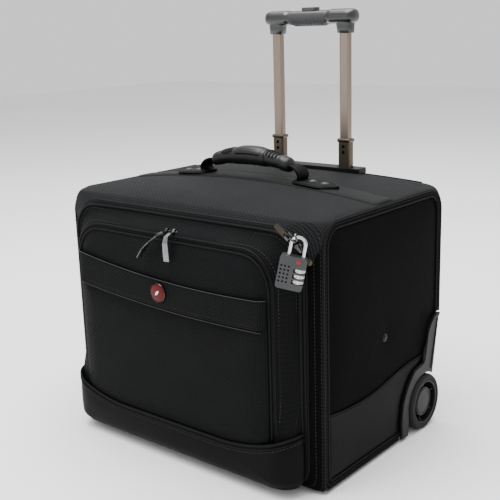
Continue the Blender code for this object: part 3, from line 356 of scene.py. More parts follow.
GLOSS_BLACK = moulded("gloss_black", grey(0.006), 0.14, 500.0, 0.00001, 2.2, Coat_Weight=0.6, Coat_Roughness=0.08)
CHAMPAGNE = brushed("champagne_anodised", (0.25, 0.200, 0.165), 0.34, (30, 30, 1))
DARK_CHAMPAGNE = brushed("dark_champagne", (0.10, 0.082, 0.062), 0.36, (30, 30, 1))
STEEL = brushed("turned_steel", grey(0.52), 0.32, (1, 30, 30))
GUNMETAL = brushed("gunmetal", (0.040, 0.034, 0.026), 0.22, (20, 6, 20), 0.00002, 2.0)
SATIN_SILVER = brushed("satin_silver", (0.20, 0.205, 0.215), 0.3, (20, 20, 3))
CHROME = brushed("chrome", grey(0.55), 0.14, (6, 6, 6), 0.000004)
LOCK_ZINC = moulded("lock_zinc", grey(0.034, -0.04), 0.34, 1400.0, 0.00002, 1.8, Metallic=0.4)
# Near black for discs and a line that stand in for holes and a shadow: painted shade.
PAINTED_SHADE_BLACK = moulded("painted_shade_black", grey(0.001), 0.8, Specular_IOR_Level=0.05)
DIAL = moulded("dial_white", grey(0.68, 0.02), 0.3, 800.0, 0.00001, 1.1)
DIAL_INK = moulded("dial_ink", grey(0.01), 0.5)
ENAMEL = moulded("red_enamel", (0.075, 0.0002, 0.0022), 0.32, 300.0, 0.000004, 1.1, Specular_IOR_Level=0.15)
LOCK_RED = moulded("lock_red", (0.26, 0.005, 0.004), 0.4, Specular_IOR_Level=0.3)

SLOTS = {
    "nylon": (NYLON, NYLON_PAINTED_LIT_TOP, NYLON_PAINTED_SHADED_SIDE, TAPE, PIPING, FOLD, THREAD), "lining": (LINING,),
    "leatherette": (LEATHERETTE_PAINTED_LIT_TOP, LEATHERETTE), "black_plastic": (PLASTIC, PAINTED_SHADE_BLACK, DIAL_INK),
    "wheel_plastic": (WHEEL_PLASTIC,), "grey_rubber": (RUBBER, GRIP_MATTE), "grip_plastic": (GRIP, HANDLE),
    "champagne_tube": (DARK_CHAMPAGNE,), "gunmetal": (GUNMETAL, LOCK_ZINC), "dial_white": (DIAL,),
    "badge_red": (ENAMEL, LOCK_RED),
}


# ---------------------------------------------------------------- pieces

def piece(name, points, faces, look, body, coordinates=None, flat=False, slot=None):
    """A closed piece from layout points, with a map in metres where the look needs one."""
    mesh = bpy.data.meshes.new(name)
    mesh.from_pydata([place(point) for point in points], [], faces)
    if coordinates:
        layer = mesh.uv_layers.new(name="UVMap")
        for loop in mesh.loops:
            layer.data[loop.index].uv = coordinates[loop.vertex_index]
    mesh.materials.append(look)
    made = bpy.data.objects.new(name, mesh)
    bpy.context.scene.collection.objects.link(made)
    if not flat:
        mesh.shade_smooth()
    made["wanted_body"] = body
    made["wanted_slot"] = slot or next(key for key, looks in SLOTS.items() if look in looks)
    return clean(made)


def clean(made, weld=False):
    """Turns all faces of a closed piece outwards, and joins points that meet where asked."""
    work = bmesh.new()
    work.from_mesh(made.data)
    if weld:
        bmesh.ops.remove_doubles(work, verts=work.verts, dist=1e-6)
        bmesh.ops.dissolve_degenerate(work, edges=work.edges, dist=1e-7)
    bmesh.ops.recalc_face_normals(work, faces=work.faces)
    work.to_mesh(made.data)
    work.free()
    return made


def settle(made):
    """Hangs a piece on its body, once its mesh is final."""
    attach(made, made["wanted_body"])
    return made


def cover(made, fill, *nodes):
    """Settles a padded piece and names the CAD nodes that it stands in for."""
    settle(made)
    if nodes:
        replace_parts(made, *nodes)


def sharp(made, angle=35):
    made.data.set_sharp_from_angle(angle=radians(angle))
    return made


def solid_faces(rings, size, closed=False, first=0):
    """Faces around equal rings of points, with end caps where the row of rings doesn't close."""
    faces = []
    for index in range(rings if closed else rings - 1):
        here, there = first + index * size, first + (index + 1) % rings * size
        for step in range(size):
            after = (step + 1) % size
            faces.append((here + step, here + after, there + after, there + step))
    if not closed:
        last = first + (rings - 1) * size
        faces += [tuple(range(first, first + size))[::-1], tuple(range(last, last + size))]
    return faces


def lengths(points):
    """Running length of a path, in metres, from its middle."""
    run = [0.0]
    for a, b in zip(points, points[1:]):
        run.append(run[-1] + (Vector(b) - Vector(a)).length * MM)
    return [value - run[-1] / 2 for value in run]


def skins(rows, columns, spot):
    """A pad's shown face and the face it lies on. spot gives both points for a row and a column."""
    cells = [[spot(row, column) for column in columns] for row in rows]
    return [[[cell[face] for cell in row] for row in cells] for face in (0, 1)]


def pad(name, faces_of_points, look, body="case"):
    """A closed pad from two grids of points: its shown face, and the face it lies on."""
    outer, inner = faces_of_points
    rows, columns = len(outer), len(outer[0])
    size = rows * columns
    faces = []
    for first, turned_over in ((0, False), (size, True)):
        for row in range(rows - 1):
            for corner in range(first + row * columns, first + row * columns + columns - 1):
                face = (corner, corner + 1, corner + columns + 1, corner + columns)
                faces.append(face[::-1] if turned_over else face)
    rim = list(range(columns)) + [row * columns + columns - 1 for row in range(1, rows)]
    rim += [size - 1 - step for step in range(1, columns)] + [row * columns for row in range(rows - 2, 0, -1)]
    faces += [(there, here, here + size, there + size) for here, there in zip(rim, rim[1:] + rim[:1])]
    down = lengths([row[columns // 2] for row in outer])
    coordinates = [(value, height) for row, height in zip(outer, down) for value in lengths(row)]
    points = [point for grid in (outer, inner) for row in grid for point in row]
    made = piece(name, points, faces, look, body, coordinates * 2)
    made["rows"], made["columns"] = rows, columns
    return made


def puff(made, pressure, cap, held=None, stiff=12.0, frames=18):
    """Inflates a pad with Cloth while its seam and its back stay put, and keeps the result in its mesh."""
    rows, columns = made["rows"], made["columns"]
    mesh = made.data
    rest = [vertex.co.copy() for vertex in mesh.vertices]
    fixed = list(range(rows * columns, 2 * rows * columns))
    for index in range(rows * columns):
        x, y, z = rest[index] / MM
        edge = index // columns in (0, rows - 1) or index % columns in (0, columns - 1)
        if edge or (held and held(x, (rest[index].y - CENTRE_Y) / MM, z)):
            fixed.append(index)
    made.vertex_groups.new(name="held").add(fixed, 1.0, "REPLACE")
    cloth = made.modifiers.new("cloth", "CLOTH")
    for key, value in {
        "quality": 4, "mass": 0.35, "tension_stiffness": stiff, "compression_stiffness": stiff,
        "shear_stiffness": stiff / 3, "bending_stiffness": 0.4, "vertex_group_mass": "held",
        "use_pressure": True, "uniform_pressure_force": pressure,
    }.items():
        setattr(cloth.settings, key, value)
    cloth.settings.effector_weights.gravity = 0
    cloth.collision_settings.use_collision = False
    cloth.point_cache.frame_start, cloth.point_cache.frame_end = 1, frames
    scene = bpy.context.scene
    for number in range(1, frames + 1):
        scene.frame_set(number)
    result = made.evaluated_get(bpy.context.evaluated_depsgraph_get()).to_mesh()
    blown = [vertex.co.copy() for vertex in result.vertices]
    made.modifiers.remove(cloth)
    scene.frame_set(1)
    limit = cap * MM
    for vertex, start, end in zip(mesh.vertices, rest, blown):
        shift = end - start
        if shift.length > 1e-9:
            vertex.co = start + shift * (limit * tanh(shift.length / limit) / shift.length)
    made.vertex_groups.clear()
    mesh.update()
    return made


def tube(name, path, radius, look=PIPING, body="case", closed=False, slot=None):
    """A round cord or bar along a path of layout points."""
    path, sides = [Vector(point) for point in path], 8
    points, coordinates, run, side = [], [], 0.0, None
    for index, point in enumerate(path):
        forward = along(path, index, closed)
        side = forward.orthogonal() if side is None else side
        side = (side - side.dot(forward) * forward).normalized()
        up = forward.cross(side)
        run += (point - path[index - 1]).length * MM if index else 0.0
        for step in range(sides):
            angle = 2 * pi * step / sides
            points.append(point + radius * (cos(angle) * side + sin(angle) * up))
            coordinates.append((run, step / sides))
    faces = solid_faces(len(path), sides, closed)
    return settle(piece(name, points, faces, look, body, coordinates, slot=slot))


def loft(name, rings, look, body="case", closed=False, metric=False):
    """A solid through equal rings of layout points."""
    coordinates, run = [], 0.0
    for index, ring in enumerate(rings):
        run += (Vector(ring[0]) - Vector(rings[index - 1][0])).length * MM if index else 0.0
        coordinates += [(length, run) for length in lengths(ring)]
    points = [Vector(point) for ring in rings for point in ring]
    faces = solid_faces(len(rings), len(rings[0]), closed)
    return settle(piece(name, points, faces, look, body, coordinates if metric else None))


def out_at(outs, share):
    """The outward direction at a share of a path. outs is one direction, or a list along the path."""
    if not isinstance(outs, list):
        return Vector(outs).normalized()
    return Vector(outs[min(len(outs) - 1, round(share * (len(outs) - 1)))]).normalized()


def strip(name, path, outs, half, thick, look, body="case", lift=0.0):
    """A flat strap along a path. half is its half width, as a number or as a function of the share of its length."""
    path = [Vector(point) for point in path]
    rings = []
    for index, point in enumerate(path):
        share = index / (len(path) - 1)
        out = out_at(outs, share)
        side = along(path, index).cross(out).normalized()
        width = half(share) if callable(half) else half
        top, shoulder = width - thick * 0.5, lift + thick * 0.7
        rings.append([point + side * across + out * height for across, height in (
            (-width, lift), (width, lift), (width, shoulder), (top, lift + thick), (-top, lift + thick),
            (-width, shoulder))])
    return loft(name, rings, look, body, metric=True)


def stitches(name, path, outs, body="case", length=3.0, gap=1.4, lift=0.1):
    """A row of thread stitches along a path, each one a small spindle that dips in at both ends."""
    stations, radius = even(path, 0.5), 0.32
    reach = max(1, round(length / 0.5))
    points, faces, coordinates = [], [], []
    for first in range(0, len(stations) - reach, max(1, round((length + gap) / 0.5))):
        a, b = stations[first], stations[first + reach]
        out = out_at(outs, first / len(stations))
        side = (b - a).normalized().cross(out).normalized()
        faces += solid_faces(4, 4, first=len(points))
        for share, size, height in ((0, 0.3, -0.5), (0.2, 1, 0.6), (0.8, 1, 0.6), (1, 0.3, -0.5)):
            centre = a.lerp(b, share) + out * (lift + height * radius)
            for turn in ((1, 0), (0, 1), (-1, 0), (0, -1)):
                points.append(centre + radius * size * (side * turn[0] + out * turn[1]))
                coordinates.append((share * length * MM, turn[0] * 0.25 + 0.5))
    return settle(piece(name, points, faces, THREAD, body, coordinates))


def zip_teeth(name, path, outs, side_sign, body, size=(1.7, 0.6, 0.9)):
    """One half of a zip's coil: a row of small teeth that reach over the middle line from one side."""
    pitch = 2.2
    stations = even(path, pitch)
    points, faces = [], []
    for index, station in enumerate(stations):
        out = out_at(outs, index / len(stations))
        forward = along(stations, index)
        side = forward.cross(out).normalized() * side_sign
        centre = station + forward * (pitch / 2 if side_sign > 0 else 0) + side * size[0] * 0.45
        faces += solid_faces(2, 4, first=len(points))
        for along_sign in (-1, 1):
            for across, height in ((-1, 0.0), (1, 0.0), (0.8, 1.0), (-0.6, 1.0)):
                offset = forward * along_sign * size[1] * (1.0 if height < 0.5 else 0.7)
                points.append(centre + offset + side * across * size[0] + out * height * size[2])
    return settle(piece(name, points, faces, PLASTIC, body, flat=True))


def turned(name, profile, centre, axis, look, body="case", steps=48, angle=30):
    """A lathe-turned piece. The profile holds (radius, height) in millimetres along the axis."""
    axis = Vector(axis).normalized()
    side = axis.orthogonal().normalized()
    up = axis.cross(side)
    rings = []
    for step in range(steps):
        turn = 2 * pi * step / steps
        spoke = side * cos(turn) + up * sin(turn)
        rings.append([Vector(centre) + spoke * radius + axis * height for radius, height in profile])
    made = clean(loft(name, rings, look, body, closed=True), weld=True)
    made.data.shade_smooth()
    return sharp(made, angle)


def dress(node, look, bevel=0.0, angle=35):
    """Gives a CAD node a finished look, and rounds its edges where a bevel is asked for."""
    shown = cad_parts[node]
    shown.data.materials.clear()
    shown.data.materials.append(look)
    if bevel:
        shown.modifiers.new("weld", "WELD").merge_threshold = 1e-6
        modifier = shown.modifiers.new("bevel", "BEVEL")
        modifier.width, modifier.segments = bevel * MM, 2
        modifier.limit_method, modifier.angle_limit = "ANGLE", radians(angle)
        modifier.harden_normals = False


# ---------------------------------------------------------------- case body

def crown(x, y):
    along_depth = 1 - CROWN_FALL * (y / HALF_DEPTH) ** 2
    return CROWN * max(0.0, 1 - (x / HALF_WIDTH) ** 2) * along_depth


def corner_radius(y):
    return max(2.0, EDGE_RADIUS - leg(EDGE_RADIUS, beyond(y, HALF_DEPTH - EDGE_RADIUS)))


def gusset_section(y, inset):
    """The top's outline across the width at one depth, from one side binding to the other."""
    share = min(1.0, max(0.0, (-HALF_DEPTH - y) / (-HALF_DEPTH - FRONT_FACE)))
    half = mix(HALF_WIDTH, DOOR_HALF + 1.5, share) - inset
    top = mix(TOP, DOOR_TOP + 2, smooth(share)) - inset
    radius = mix(corner_radius(max(y, -HALF_DEPTH)), DOOR_TOP_RADIUS + 1, share) - min(inset, 1)
    fade = smooth((y - FRONT_FACE) / 26)
    reach = half - radius
    points = arc((reach, top - radius), radius, 0, 90, 10)
    points += [(reach * cos(pi * step / 60), top) for step in range(1, 60)]
    points += arc((-reach, top - radius), radius, 90, 180, 10)
    row = []
    for x, z in points:
        lift = crown(x, y) * fade * max(0.0, 1 - (top - z) / max(radius, 1))
        notch = abs(x) < COVER_TOP_X + 2 and y > 100
        row.append(at(x, min(y, 125.4) if notch else y, z + lift))
    return row


def make_top():
    stations = [FRONT_FACE + 9 * (step / 6) ** 1.3 for step in range(6)]
    stations += [-HALF_DEPTH + 30 * (1 - cos(pi * step / 20)) for step in range(10)]
    stations += [-107 + 214 * step / 44 for step in range(45)]
    stations += [107 + 30 * sin(pi * step / 20) for step in range(1, 11)]
    stations = sorted(set(round(value, 3) for value in stations))
    # The top is dressed in the lighter copy of the nylon: painted light from above.
    made = pad("top_cover", [[gusset_section(y, inset) for y in stations] for inset in (0, 3)], NYLON_PAINTED_LIT_TOP)
    puff(made, 5.0, 3.0, lambda x, y, z: abs(y - 0.5) < 22 or y > 112 or y < -HALF_DEPTH + 1, 14.0)
    cover(made, 0.55, "top_panel", "front_frame")


def side_outline(inset):
    """The side panel's edge in the side view, as (y, z), from the wheel housing round the front and top to the rear."""
    edge, radius, low = HALF_DEPTH - inset, EDGE_RADIUS - inset, BASE + 1 + inset
    points = [(33.0, low), (-edge + 7, low)] + arc((-edge + 7, low + 7), 7, 270, 180, 6)
    points += arc((-HALF_DEPTH + EDGE_RADIUS, TOP - EDGE_RADIUS), radius, 180, 90, 12)
    points += arc((HALF_DEPTH - EDGE_RADIUS, TOP - EDGE_RADIUS), radius, 90, 0, 12)
    return points + [(edge, 158.0)]


def seam_line(y):
    """Height of the seam between the upper and the lower side panel."""
    return 92.5 + 0.00105 * (y + 52) ** 2 if y < -52 else 92.5 + 13.5 * smooth((y + 52) / 120)


def flange_edge(z):
    """Where the wheel housing's flange begins, in the side view."""
    line = ((0, 41), (27, 38), (54, 42), (74, 53), (88, 66), (97, 92), (110, 98))
    for (z0, y0), (z1, y1) in zip(line, line[1:]):
        if z <= z1:
            return mix(y0, y1, (z - z0) / (z1 - z0))
    return line[-1][1]


def make_side(side, sign):
    out, edge, straight = at(sign, 0, 0), HALF_DEPTH - BINDING, HALF_DEPTH - EDGE_RADIUS
    outline = [Vector(point) for point in side_outline(BINDING)]
    turn = [straight + (edge - straight) * sin(pi / 2 * share) for share in shares(8, 1)]
    columns = [-y for y in turn[::-1]] + [-straight + 2 * straight * share for share in shares(40)] + turn

    def face(y, z, lift=0.0):
        return at(sign * (HALF_WIDTH + lift), y, z)

    def upper(share, y):
        low, high = seam_line(y), TOP - EDGE_RADIUS + leg(EDGE_RADIUS - BINDING, beyond(y, straight))
        z = mix(low, high, share)
        near = min(distance_to(Vector((y, z)), outline), z - low)
        return face(y, z, -0.8 + 1.6 * smooth(near / 26)), face(y, z, -4.0)

    def lower(share, column):
        back = flange_edge(5 + 100 * share) + 2
        y = mix(-edge, back, column)
        z = mix(BASE + 1 + BINDING, seam_line(y), share)
        swell = 1.5 * smooth(min(share, 1 - share) * 3.2) * smooth((back - y) / 24)
        return face(y, z, -0.6 + swell), face(y, z, -4.0)

    # The upper side pads take the darker copy of the nylon: painted shade.
    made = pad("side_pad_" + side, skins(shares(42), columns, upper), NYLON_PAINTED_SHADED_SIDE)
    puff(made, 4.0, 2.6, lambda x, y, z: hypot(y + 6, z - 160) < 7 or (y > 84 and z < 168), 12.0)
    cover(made, 0.45, "side_panel_" + side)
    made = pad("side_kick_panel_" + side, skins(shares(18), shares(36), lower), LEATHERETTE)
    puff(made, 4.0, 1.6, lambda x, y, z: y > 24, 14.0)
    cover(made, 0.35)
    tube("side_seam_piping_" + side, [face(y, seam_line(y), 0.2) for y in range(-128, 95, 3)], 0.9)
    stitches("side_seam_stitches_" + side, [face(y, seam_line(y) - 3.2, 0.2) for y in range(-126, 91, 3)], out)

    # The bound edge: a flat tape between an outer and an inner cord, sewn through its middle.
    def bound(inset, lift=0.0):
        return even([face(y, z, lift) for y, z in side_outline(inset)], 4)

    strip("side_binding_" + side, bound(BINDING / 2), out, BINDING / 2, 1.3, TAPE, lift=-0.9)
    tube("side_edge_piping_" + side, bound(0.6, -0.4), 1.9)
    tube("side_inner_piping_" + side, bound(BINDING), 1.2)
    stitches("side_binding_stitches_" + side, bound(BINDING / 2), out, lift=0.5)


def ring_section(half, low, high_cut, radius, y):
    """Sides and bottom of an outline at one depth: down one side, along the bottom and up the other side."""
    steps, corner, reach = 30, 5, half - radius
    points = [(half, mix(high_cut, low + radius, step / steps)) for step in range(steps)]
    points += arc((reach, low + radius), radius, 0, -90, corner)
    points += [(mix(reach, -reach, step / steps), low) for step in range(1, steps)]
    points += arc((-reach, low + radius), radius, -90, -180, corner)
    points += [(-half, mix(low + radius, high_cut, share)) for share in shares(steps, 1)]
    return [at(x, y, z) for x, z in points]


def make_front_frame():
    """The soft frame between the side bindings and the door: two sewn tapes with the zip along its inner edge."""
    outer, inner = [], []
    for share in shares(10):
        y = mix(-HALF_DEPTH, FRONT_FACE, share)
        half = mix(HALF_WIDTH, DOOR_HALF + 1.5, share)
        low = mix(BASE, DOOR_BOTTOM - 1, share)
        cut = mix(TOP - EDGE_RADIUS, DOOR_TOP + 2 - DOOR_TOP_RADIUS - 1, share)
        radius = mix(6, DOOR_BOTTOM_RADIUS, share)
        outer.append(ring_section(half, low, cut, radius, y - 1.1 * abs(sin(2 * pi * share))))
        inner.append(ring_section(half - 2, low + 2, cut, radius, y + 2.5))
    cover(pad("front_frame_cover", (outer, inner), TAPE), 0.3)
    for number, share in enumerate((0.06, 0.5, 0.94)):
        row = [point + at(0, -0.2, 0) for point in outer[round(10 * share)]]
        stitches(f"front_frame_stitches_{number}", row, (0, -1, 0), lift=0.0)


def make_back():
    """The back: a leatherette panel whose raised middle covers the handle's tubes."""
    reach = HALF_WIDTH - 1
    columns = [-reach + 30 * (1 - cos(pi / 2 * step / 8)) for step in range(8)]
    columns += [-reach + 30 + 2 * (reach - 30) * share for share in shares(60)]
    columns += [reach - 30 + 30 * sin(pi / 2 * share) for share in shares(8, 1)]

    def spot(share, x):
        high = TOP - EDGE_RADIUS + leg(EDGE_RADIUS - 1, beyond(x, HALF_WIDTH - EDGE_RADIUS)) + crown(x, HALF_DEPTH)
        if abs(x) < COVER_TOP_X + 3:
            high = 335.4
        low = 158.0 if abs(x) > 186 else 50.5 if abs(x) > COVER_TOP_X + 4 else 62.5
        z = mix(low, high, share)
        foot = COVER_BASE_X + 2
        y = HALF_DEPTH + (COVER_BACK - HALF_DEPTH) * smooth((foot - abs(x)) / (foot - COVER_TOP_X))
        swell = 1.2 * smooth(min(z - low, high - z) / 20) if abs(x) > COVER_BASE_X + 6 else 0.0
        return at(x, y + swell, z), at(x, y - 3, z)

    cover(pad("back_panel", skins(shares(48), columns, spot), LEATHERETTE), 0.3, "back_cover")
    edge = [at(x, HALF_DEPTH + 0.4, TOP - 0.2 + crown(x, HALF_DEPTH)) for x in range(92, 181, 4)]
    edge += [at(180 + dx, HALF_DEPTH + 0.4, 300 + dz) for dx, dz in arc((0, 0), 29.6, 90, 0, 10)]
    edge += [at(209.6, HALF_DEPTH + 0.4, z) for z in range(296, 157, -6)]
    for side, sign in SIDES:
        def line(x, y, low, high):
            return [at(sign * x, y, z) for z in range(low, high, 4)]

        stitches("back_cover_stitches_" + side, line(COVER_TOP_X - 4, COVER_BACK + 0.1, 68, 332), (0, 1, 0))
        tube("back_cover_piping_" + side, line(COVER_BASE_X + 5, HALF_DEPTH + 0.6, 56, 330), 1.4)
        strip("back_rub_rail_" + side, line(60, COVER_BACK + 0.4, 66, 330), (0, 1, 0), 3.5, 1.6, PLASTIC)
        tube("back_edge_piping_" + side, [at(sign * x, y, z) for x, y, z in edge], 1.6)


def make_top_band():
    """The leatherette band across the top, under the carry handle."""
    y_low, y_high = span("top_band")[0].y, span("top_band")[1].y

    def spot(step, x):
        y, z = mix(y_low, y_high, step / 8), TOP + crown(x, 0)
        return at(x, y, z + 0.5 + 1.7 * smooth(min(step, 8 - step) / 1.5)), at(x, y, z - 0.2)

    # The band takes the lighter copy of the leatherette: painted light from above.
    made = settle(pad("top_band_cover", skins(range(9), range(-208, 209, 8), spot), LEATHERETTE_PAINTED_LIT_TOP))
    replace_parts(made, "top_band")
    for number, y in enumerate((y_low + 3, y_high - 3)):
        line = [at(x, y, TOP + crown(x, 0) + 2.2) for x in range(-204, 205, 6)]
        stitches(f"top_band_stitches_{number}", line, (0, 0, 1))


def lining(name, faces_of_points, body="case"):
    settle(pad(name, faces_of_points, LINING, body))


def make_lining():
    """Grey cloth inside the case: walls that stop at the wheel wells, and covers on the wells and the skid plate."""
    mouth, front, rear, well, wall = -136.0, -118.0, 119.4, 44.0, 160.5
    walls = [
        ("roof_front", (-184, mouth, 322.6), (184, front, 323.6)),
        ("floor", (-204, mouth, 8.4), (204, well, 9.6)),
        ("floor_rear", (-180.4, well, 8.4), (180.4, 85.4, 9.6)),
        ("roof", (-204, front, 324.6), (204, rear, 325.6)),
        ("back", (-204, 118.4, wall), (204, rear, 324)),
        ("back_low", (-180.4, 118.4, 36.6), (180.4, rear, wall)),
    ]
    for side, sign in SIDES:
        for name, low, high in (
            (side, (204.6, front, 8.6), (205.6, well, 325.4)),
            (side + "_rear", (204.6, well, wall), (205.6, rear, 325.4)),
            (side + "_front", (204.6, mouth, 8.6), (205.6, front, 299)),
            ("wheel_cap_" + side, (181, 102.6, 160), (204.4, 118.2, 160.7)),
        ):
            reach = sorted((sign * low[0], sign * high[0]))
            walls.append((name, (reach[0], *low[1:]), (reach[1], *high[1:])))
    for name, low, high in walls:
        thin = min(range(3), key=lambda axis: high[axis] - low[axis])
        first, second = [axis for axis in range(3) if axis != thin]

        def spot(row, cell):
            corner = [0.0, 0.0, 0.0]
            corner[first], corner[second] = mix(low[first], high[first], cell), mix(low[second], high[second], row)
            pair = []
            for corner[thin] in (high[thin], low[thin]):
                pair.append(Vector(corner))
            return pair

        lining("lining_" + name, skins(shares(20), shares(20), spot))
    lining("lining_skid", skins(range(9), range(-180, 181, 12), lambda step, x: [
        at(x, 86 + 4 * step, 8.9 + 3.35 * step + lift) for lift in (0.8, 0)]))
    arched = [(46, 9.8), (46.4, 22), *arc((WHEEL_Y, WHEEL_Z), 47.8, 176, 100, 12), (92, 104), (97, 130), (103, 160)]
    for side, sign in SIDES:
        rings = []
        for x in (181.0, 181.6, 183, 184.6):
            grow = 0.0 if x > 182.9 else (183 - x)
            outline = [(46 + grow, 9.8), (86, 9.8), (118, 37), (118, 160 - grow), (104, 160 - grow)]
            outline += arc((WHEEL_Y, WHEEL_Z), 47.5 - grow, 100, 176, 10)
            rings.append([at(sign * x, y, z) for y, z in outline])
        loft("lining_wheel_box_" + side, rings, LINING, metric=True)
        lining("lining_wheel_arch_" + side, skins(arched, (184.8, 191, 198, 204.4), lambda line, x: (
            at(sign * x, line[0], line[1]), at(sign * x, line[0] + 0.7, line[1] - 0.3))))
        lining("lining_wheel_wall_" + side, skins(arched, shares(6), lambda line, share: [
            at(sign * x, mix(well, line[0], share), min(line[1], wall) + 0.4) for x in (204.6, 205.6)]))


def make_front_floor():
    """The case's floor between its base panel and the door."""
    rows = [mix(-HALF_DEPTH + 0.4, -108.5, share) for share in shares(8)]
    settle(pad("base_front_cover", skins(rows, range(-207, 208, 9), lambda y, x: (
        at(x, y, BASE + 0.2), at(x, y, BASE + 3.4))), LEATHERETTE))


# ---------------------------------------------------------------- door

def arch(half, top, radius, low, steps=12):
    """An arch-shaped outline: up one side, over the top and down the other side, as (x, z)."""
    rise = [(half, mix(low, top - radius, step / (2 * steps))) for step in range(2 * steps)]
    over = arc((half - radius, top - radius), radius, 0, 90, steps)
    level = [(mix(half - radius, -half + radius, step / (3 * steps)), top) for step in range(1, 3 * steps)]
    back = arc((-half + radius, top - radius), radius, 90, 180, steps)
    return rise + over + level + back + [(-x, z) for x, z in rise[::-1]]


def door_outline(inset):
    """The door's whole outline, as (x, z)."""
    half, low, high = DOOR_HALF - inset, DOOR_BOTTOM + inset, DOOR_TOP - inset
    top_radius, low_radius = DOOR_TOP_RADIUS - inset, DOOR_BOTTOM_RADIUS - inset
    points = arc((half - top_radius, high - top_radius), top_radius, 0, 90, 12)
    points += arc((-half + top_radius, high - top_radius), top_radius, 90, 180, 12)
    points += arc((-half + low_radius, low + low_radius), low_radius, 180, 270, 8)
    return points + arc((half - low_radius, low + low_radius), low_radius, 270, 360, 8)


def zip_outline(inset):
    """The door's outline without its hinge edge: up one side, over the top and down the other, as (x, z)."""
    points = door_outline(inset)
    return points[-4:] + points[:-14]


def make_hinge():
    """The fabric hinge along the door's lower edge. It turns smoothly from the case to the door."""
    section = spline([(y, z, 0) for y, z in ((-137.0, 8.2), (-141.5, 8.4), (-144.8, 9.0), (-146.0, 11.4),
                                             (-146.1, 16), (-146.2, 24), (-146.2, 32))], 4)
    made = pad("door_hinge_tape", skins(section, range(-160, 161, 8), lambda line, x: (
        at(x, line.x, line.y),
        at(x, line.x + (0.7 if line.y > 10 else 0.3), line.y + (0.7 if line.y < 12 else 0.0)))), TAPE)
    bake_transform(made)


def band_top(x):
    share = beyond(x, BAND_FLAT) / (DOOR_HALF - BAND_FLAT)
    return BAND_TOP + BAND_RISE * share * share


def skin_depth(x, z, share):
    """Depth of the door's skin, from its zip out to the pocket. It bulges to meet the kick band's top edge."""
    y = mix(DOOR_FRONT + 1.2, POCKET_EDGE_Y + 2.0, 0.12 * share + 0.88 * smooth(share) ** 1.5)
    near = smooth(1 - (z - band_top(x)) / 55) * (1 - 0.85 * share * share)
    reach = min(1.0, beyond(x, BAND_STRAIGHT) / (DOOR_HALF - BAND_STRAIGHT - 2))
    band = DOOR_FRONT - (DOOR_FRONT - BAND_FRONT - 3.5) * sqrt(1 - reach * reach)
    return min(y, mix(y, band, near))


def skin_arch(share, radius, low):
    """The outline of the door's skin at a share of the way from the zip to the pocket, as (x, z)."""
    half, top = mix(DOOR_HALF - 2.5, POCKET_HALF + 1.6, share), mix(DOOR_TOP - 2.5, POCKET_TOP + 2.4, share)
    return arch(half, top, radius, low)


def make_door():
    outer = []
    for share in shares(16):
        outline = skin_arch(share, mix(DOOR_TOP_RADIUS - 2.5, POCKET_RADIUS + 2, share), 22)
        outer.append([at(x, skin_depth(x, z, share), z) for x, z in outline])
    inner = [[point + at(0, 2.6, 0) for point in row] for row in outer]
    made = pad("door_skin", (outer, inner), NYLON, "door")
    puff(made, 5.0, 2.4, None, 10.0)
    cover(made, 0.5, "door_panel", "pocket_gusset")

    def line(outline, y, step=4, closed=False):
        return even([(x, y, z) for x, z in outline], step, closed)

    tube("door_edge_piping", line(door_outline(2), DOOR_FRONT + 0.6, closed=True), 1.9, body="door", closed=True)
    zip_line, front = line(zip_outline(-0.6), DOOR_FRONT + 2.8, 3), (0, -1, 0)
    zip_teeth("door_zip_teeth", zip_line, front, -1, "door")
    zip_teeth("case_zip_teeth", zip_line, front, 1, "case")
    strip("door_zip_tape", line(zip_outline(1.2), DOOR_FRONT + 3.0), front, 2.2, 0.6, TAPE, "door")
    tube("case_zip_piping", line(zip_outline(-3.0), FRONT_FACE - 0.6), 1.5)
    sewn = arch(DOOR_HALF - 6.5, DOOR_TOP - 6.5, DOOR_TOP_RADIUS - 6.5, 84)
    stitches("door_edge_stitches", line(sewn, DOOR_FRONT - 0.6), front, "door", lift=0.2)

    # Plain closed back of the door and the cloth behind its pocket.
    def back(z, share):
        half = DOOR_HALF - 1
        for radius, over in ((DOOR_BOTTOM_RADIUS, DOOR_BOTTOM + DOOR_BOTTOM_RADIUS - z),
                             (DOOR_TOP_RADIUS, z - DOOR_TOP + DOOR_TOP_RADIUS)):
            if over > 0:
                half -= radius - leg(radius, over)
        return at(half * (share / 15 - 1), DOOR_FRONT + 5.4, z), at(half * (share / 15 - 1), DOOR_FRONT + 3.4, z)

    def behind(z, share):
        x = (POCKET_HALF - 4 - POCKET_RADIUS + leg(POCKET_RADIUS, max(0.0, z - POCKET_TOP + POCKET_RADIUS)))
        return at(x * (share / 15 - 1), DOOR_FRONT - 1.2, z), at(x * (share / 15 - 1), DOOR_FRONT - 0.2, z)

    heights = [mix(DOOR_BOTTOM + 1, DOOR_TOP - 1, smooth(share)) for share in shares(20)]
    lining("door_lining", skins(heights, range(31), back), "door")
    lining("pocket_lining", skins([mix(60, POCKET_TOP - 4, share) for share in shares(12)], range(31), behind), "door")


def band_plan(inset):
    """Plan of the kick band: a straight front whose ends curve back to the door's edges, as (x, y)."""
    reach = DOOR_HALF - BAND_STRAIGHT - inset
    depth = DOOR_FRONT - 0.3 - BAND_FRONT - inset
    quarter = []
    for share in shares(14):
        angle = radians(90 * share)
        quarter.append((BAND_STRAIGHT + reach * cos(angle), DOOR_FRONT - 0.3 - depth * sin(angle)))
    front = [(mix(BAND_STRAIGHT, -BAND_STRAIGHT, step / 60), BAND_FRONT + inset) for step in range(1, 60)]
    return quarter + front + [(-x, y) for x, y in quarter[::-1]]


